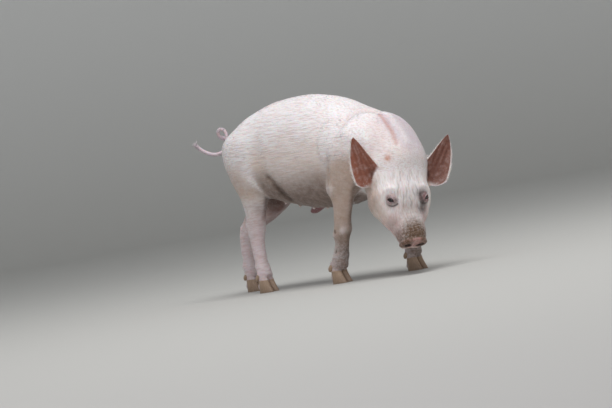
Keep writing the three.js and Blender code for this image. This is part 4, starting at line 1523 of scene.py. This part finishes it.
def bristle_piece(name, spikes, roots_uv, hair, along_marks):
    """Writes one coat piece: its spikes, its marks for each vertex, and its bake map, on which each
    tuft is a small patch at its root's place."""
    count = len(spikes)
    first = (np.arange(count) * BRISTLE_POINTS)[:, None, None]
    quads = (BRISTLE_QUADS + first).reshape(-1, 4)
    triangles = (BRISTLE_TRIANGLES + first).reshape(-1, 3)
    piece = make_piece(name, spikes.reshape(-1, 3), quads, triangles, BRISTLE, "skin")
    mesh = piece.data
    for mark, values in along_marks.items():
        set_values(mesh, mark, np.repeat(np.clip(values, 0, 1), BRISTLE_POINTS))
    share = np.array([0, 0, 0, 0.5, 0.5, 0.5, 1.0])
    set_values(mesh, "along", np.tile(share, count))
    low, high = roots_uv.min(0), roots_uv.max(0)
    place = 0.02 + 0.95 * (roots_uv - low) / np.maximum(high - low, 1e-6)
    across = np.array([-1, 0, 1, -1, 0, 1, 0]) * 0.12
    patch = np.stack([(hair[:, None] + 0.5) / HAIRS + across / HAIRS,
                      np.broadcast_to(share, (count, BRISTLE_POINTS))], -1) * PATCH
    uv = (place[:, None] + patch).reshape(-1, 2)
    loops = read(mesh.loops, "vertex_index", 1, np.int32).ravel()
    mesh.uv_layers.new(name="OFBake").data.foreach_set("uv", uv[loops].astype(np.float32).ravel())
    return piece


def grow_coat():
    """The whole coat, region by region, in tufts whose hairs lean together at their tips."""
    rng = np.random.default_rng(11)
    length, half, lift, number = coat_plan(shape_now, skin_normals, skin_values, skin_marks)
    lie = relax(coat_lie(shape_now, skin_normals, skin_values), edges_of(skin_mesh), 24)
    region = coat_regions(shape_now, skin_values)
    corners, weights = scatter_tufts(skin_mesh, number, TUFTS, rng)

    def at_roots(values):
        shaped = weights if values.ndim == 1 else weights[..., None]
        return (values[corners] * shaped).sum(1)

    root, normal = at_roots(shape_now), unit(at_roots(skin_normals))
    way = at_roots(lie)
    way = unit(way - (way * normal).sum(1)[:, None] * normal)
    side = np.cross(normal, way)
    swing = rng.normal(0, 0.16, TUFTS)[:, None]
    way = unit(way + swing * side)
    side = np.cross(normal, way)
    tuft_length = at_roots(length) * rng.uniform(0.75, 1.2, TUFTS)
    tuft_half, tuft_lift = at_roots(half), at_roots(lift)
    marks = {mark: at_roots(values) for mark, values in skin_marks.items()}
    tuft_region = region[corners[:, 0]]
    hair = np.tile(np.arange(HAIRS), TUFTS)
    each = np.repeat(np.arange(TUFTS), HAIRS)
    count = len(each)
    spread = TUFT_RADIUS * np.sqrt(rng.random(count)) * np.clip(tuft_length[each] / 9, 0.45, 1.1)
    turn = rng.uniform(0, 2 * math.pi, count)
    offset = (spread * np.cos(turn))[:, None] * side[each] + (spread * np.sin(turn))[:, None] * way[each]
    stray = rng.normal(0, 0.09, count)[:, None]
    spikes = bristle_shapes(
        root[each] + offset, normal[each], unit(way[each] + stray * side[each]),
        tuft_length[each] * rng.uniform(0.7, 1.1, count), tuft_half[each],
        np.clip(tuft_lift[each] + rng.normal(0, 3.0, count), 1, 60), -0.55 * offset, rng)
    for index, name in enumerate(REGIONS):
        mine = tuft_region[each] == index
        if mine.any():
            tufts = each[mine]
            flat = np.stack(unwrap(name, root[tufts]), -1)
            bristle_piece("coat_" + name, spikes[mine], flat, hair[mine],
                          {mark: values[tufts] for mark, values in marks.items()})


LASH_HALF, LASH_LIFT = 0.15, 34.0      # half width in mm, lift off the lid in degrees


def lashes():
    """White lashes in a row along each lid, longer on the upper one, that curve away from the eye."""
    rng = np.random.default_rng(5)
    spikes = []
    for hand, centre in EYE_CENTRES.items():
        gaze, slit, over = eye_frame(hand)
        for sign, count, length in ((1, 26, 8.5), (-1, 16, 4.0)):
            x = np.linspace(-7.2, 6.6, count) + rng.normal(0, 0.15, count)
            y = lid_edges(x)[0 if sign > 0 else 1] + sign * 0.8
            way = unit(x[:, None] * slit + y[:, None] * over
                       + np.sqrt(np.maximum(1, (EYE_RADIUS + LID) ** 2 - x * x - y * y))[:, None] * gaze)
            root = centre + way * (EYE_RADIUS + LID + 0.2)
            lie = unit(sign * over + 0.9 * gaze + (x / 14)[:, None] * slit)
            lie = unit(lie - (lie * way).sum(1)[:, None] * way * 0.6)
            spikes.append(bristle_shapes(
                root, way, lie, length * rng.uniform(0.8, 1.1, count),
                np.full(count, LASH_HALF), np.full(count, LASH_LIFT), np.zeros((count, 3)), rng))
    spikes = np.concatenate(spikes)
    nothing = {mark: np.zeros(len(spikes)) for mark in skin_marks}
    flat = spikes[:, 0, [0, 2]]
    bristle_piece("lashes", spikes, flat, np.zeros(len(spikes)), nothing)


grow_coat()
lashes()


# ------------------------------------------------------------------ studio
def bowl(radius=8.5, flat=6.8, height=5.0):
    """Floor and surrounding backdrop in one: a flat disc that curves up to a wall all round."""
    bend = np.linspace(0, math.pi / 2, 24)
    curve = radius - flat
    r = np.concatenate([np.linspace(0, flat, 20), flat + curve * np.sin(bend[1:]), [radius]])
    z = np.concatenate([np.zeros(20), curve * (1 - np.cos(bend[1:])), [height]])
    angle = np.linspace(0, 2 * math.pi, 96, endpoint=False)
    rings = np.stack([r[:, None] * np.cos(angle), r[:, None] * np.sin(angle), z[:, None] + 0 * angle], -1)
    points, quads, triangles = close_rings(rings, is_open=True)
    mesh = bpy.data.meshes.new("studio_floor")
    mesh.from_pydata(points, [], quads.tolist() + triangles.tolist())
    make_smooth(mesh)
    return mesh


def paper_material():
    """Seamless studio paper: matt, pale grey underfoot and paler up the wall, with no pattern."""
    material, tree, shader = new_material("studio_paper", {"Roughness": 0.9})
    height = add(tree, "ShaderNodeSeparateXYZ", links={"Vector": place_in(tree)}).outputs["Z"]
    colour = mixed(tree, ranged(tree, height, (0.0, 1.5), (0, 1)), "#bfbeba", "#f4f4f2")
    tree.links.new(colour, shader.inputs["Base Color"])
    return material


floor = in_scene("studio_floor", bowl())
floor.data.materials.append(paper_material())

world = bpy.data.worlds.new("studio")
bpy.context.scene.world = world
world.use_nodes = True
world.node_tree.nodes["Background"].inputs["Color"].default_value = linear("#eef1f4")
world.node_tree.nodes["Background"].inputs["Strength"].default_value = 0.43


def area_light(name, spot, target, size, watts, code):
    """A round softbox, size m across, at the spot and aimed at the target."""
    data = bpy.data.lights.new(name, "AREA")
    data.shape = "DISK"
    data.size = size
    data.energy = watts
    data.color = linear(code)[:3]
    light = in_scene(name, data)
    light.location = spot
    light.rotation_euler = (Vector(target) - Vector(spot)).to_track_quat("-Z", "Y").to_euler()


area_light("sky", (-0.6, -0.9, 3.5), (0.0, -0.1, 0.2), 2.6, 90, "#ffffff")
area_light("front", (-3.2, -2.4, 1.8), (0.0, 0.0, 0.2), 2.0, 20, "#fbf6ff")
bpy.context.scene.view_settings.view_transform = "Standard"
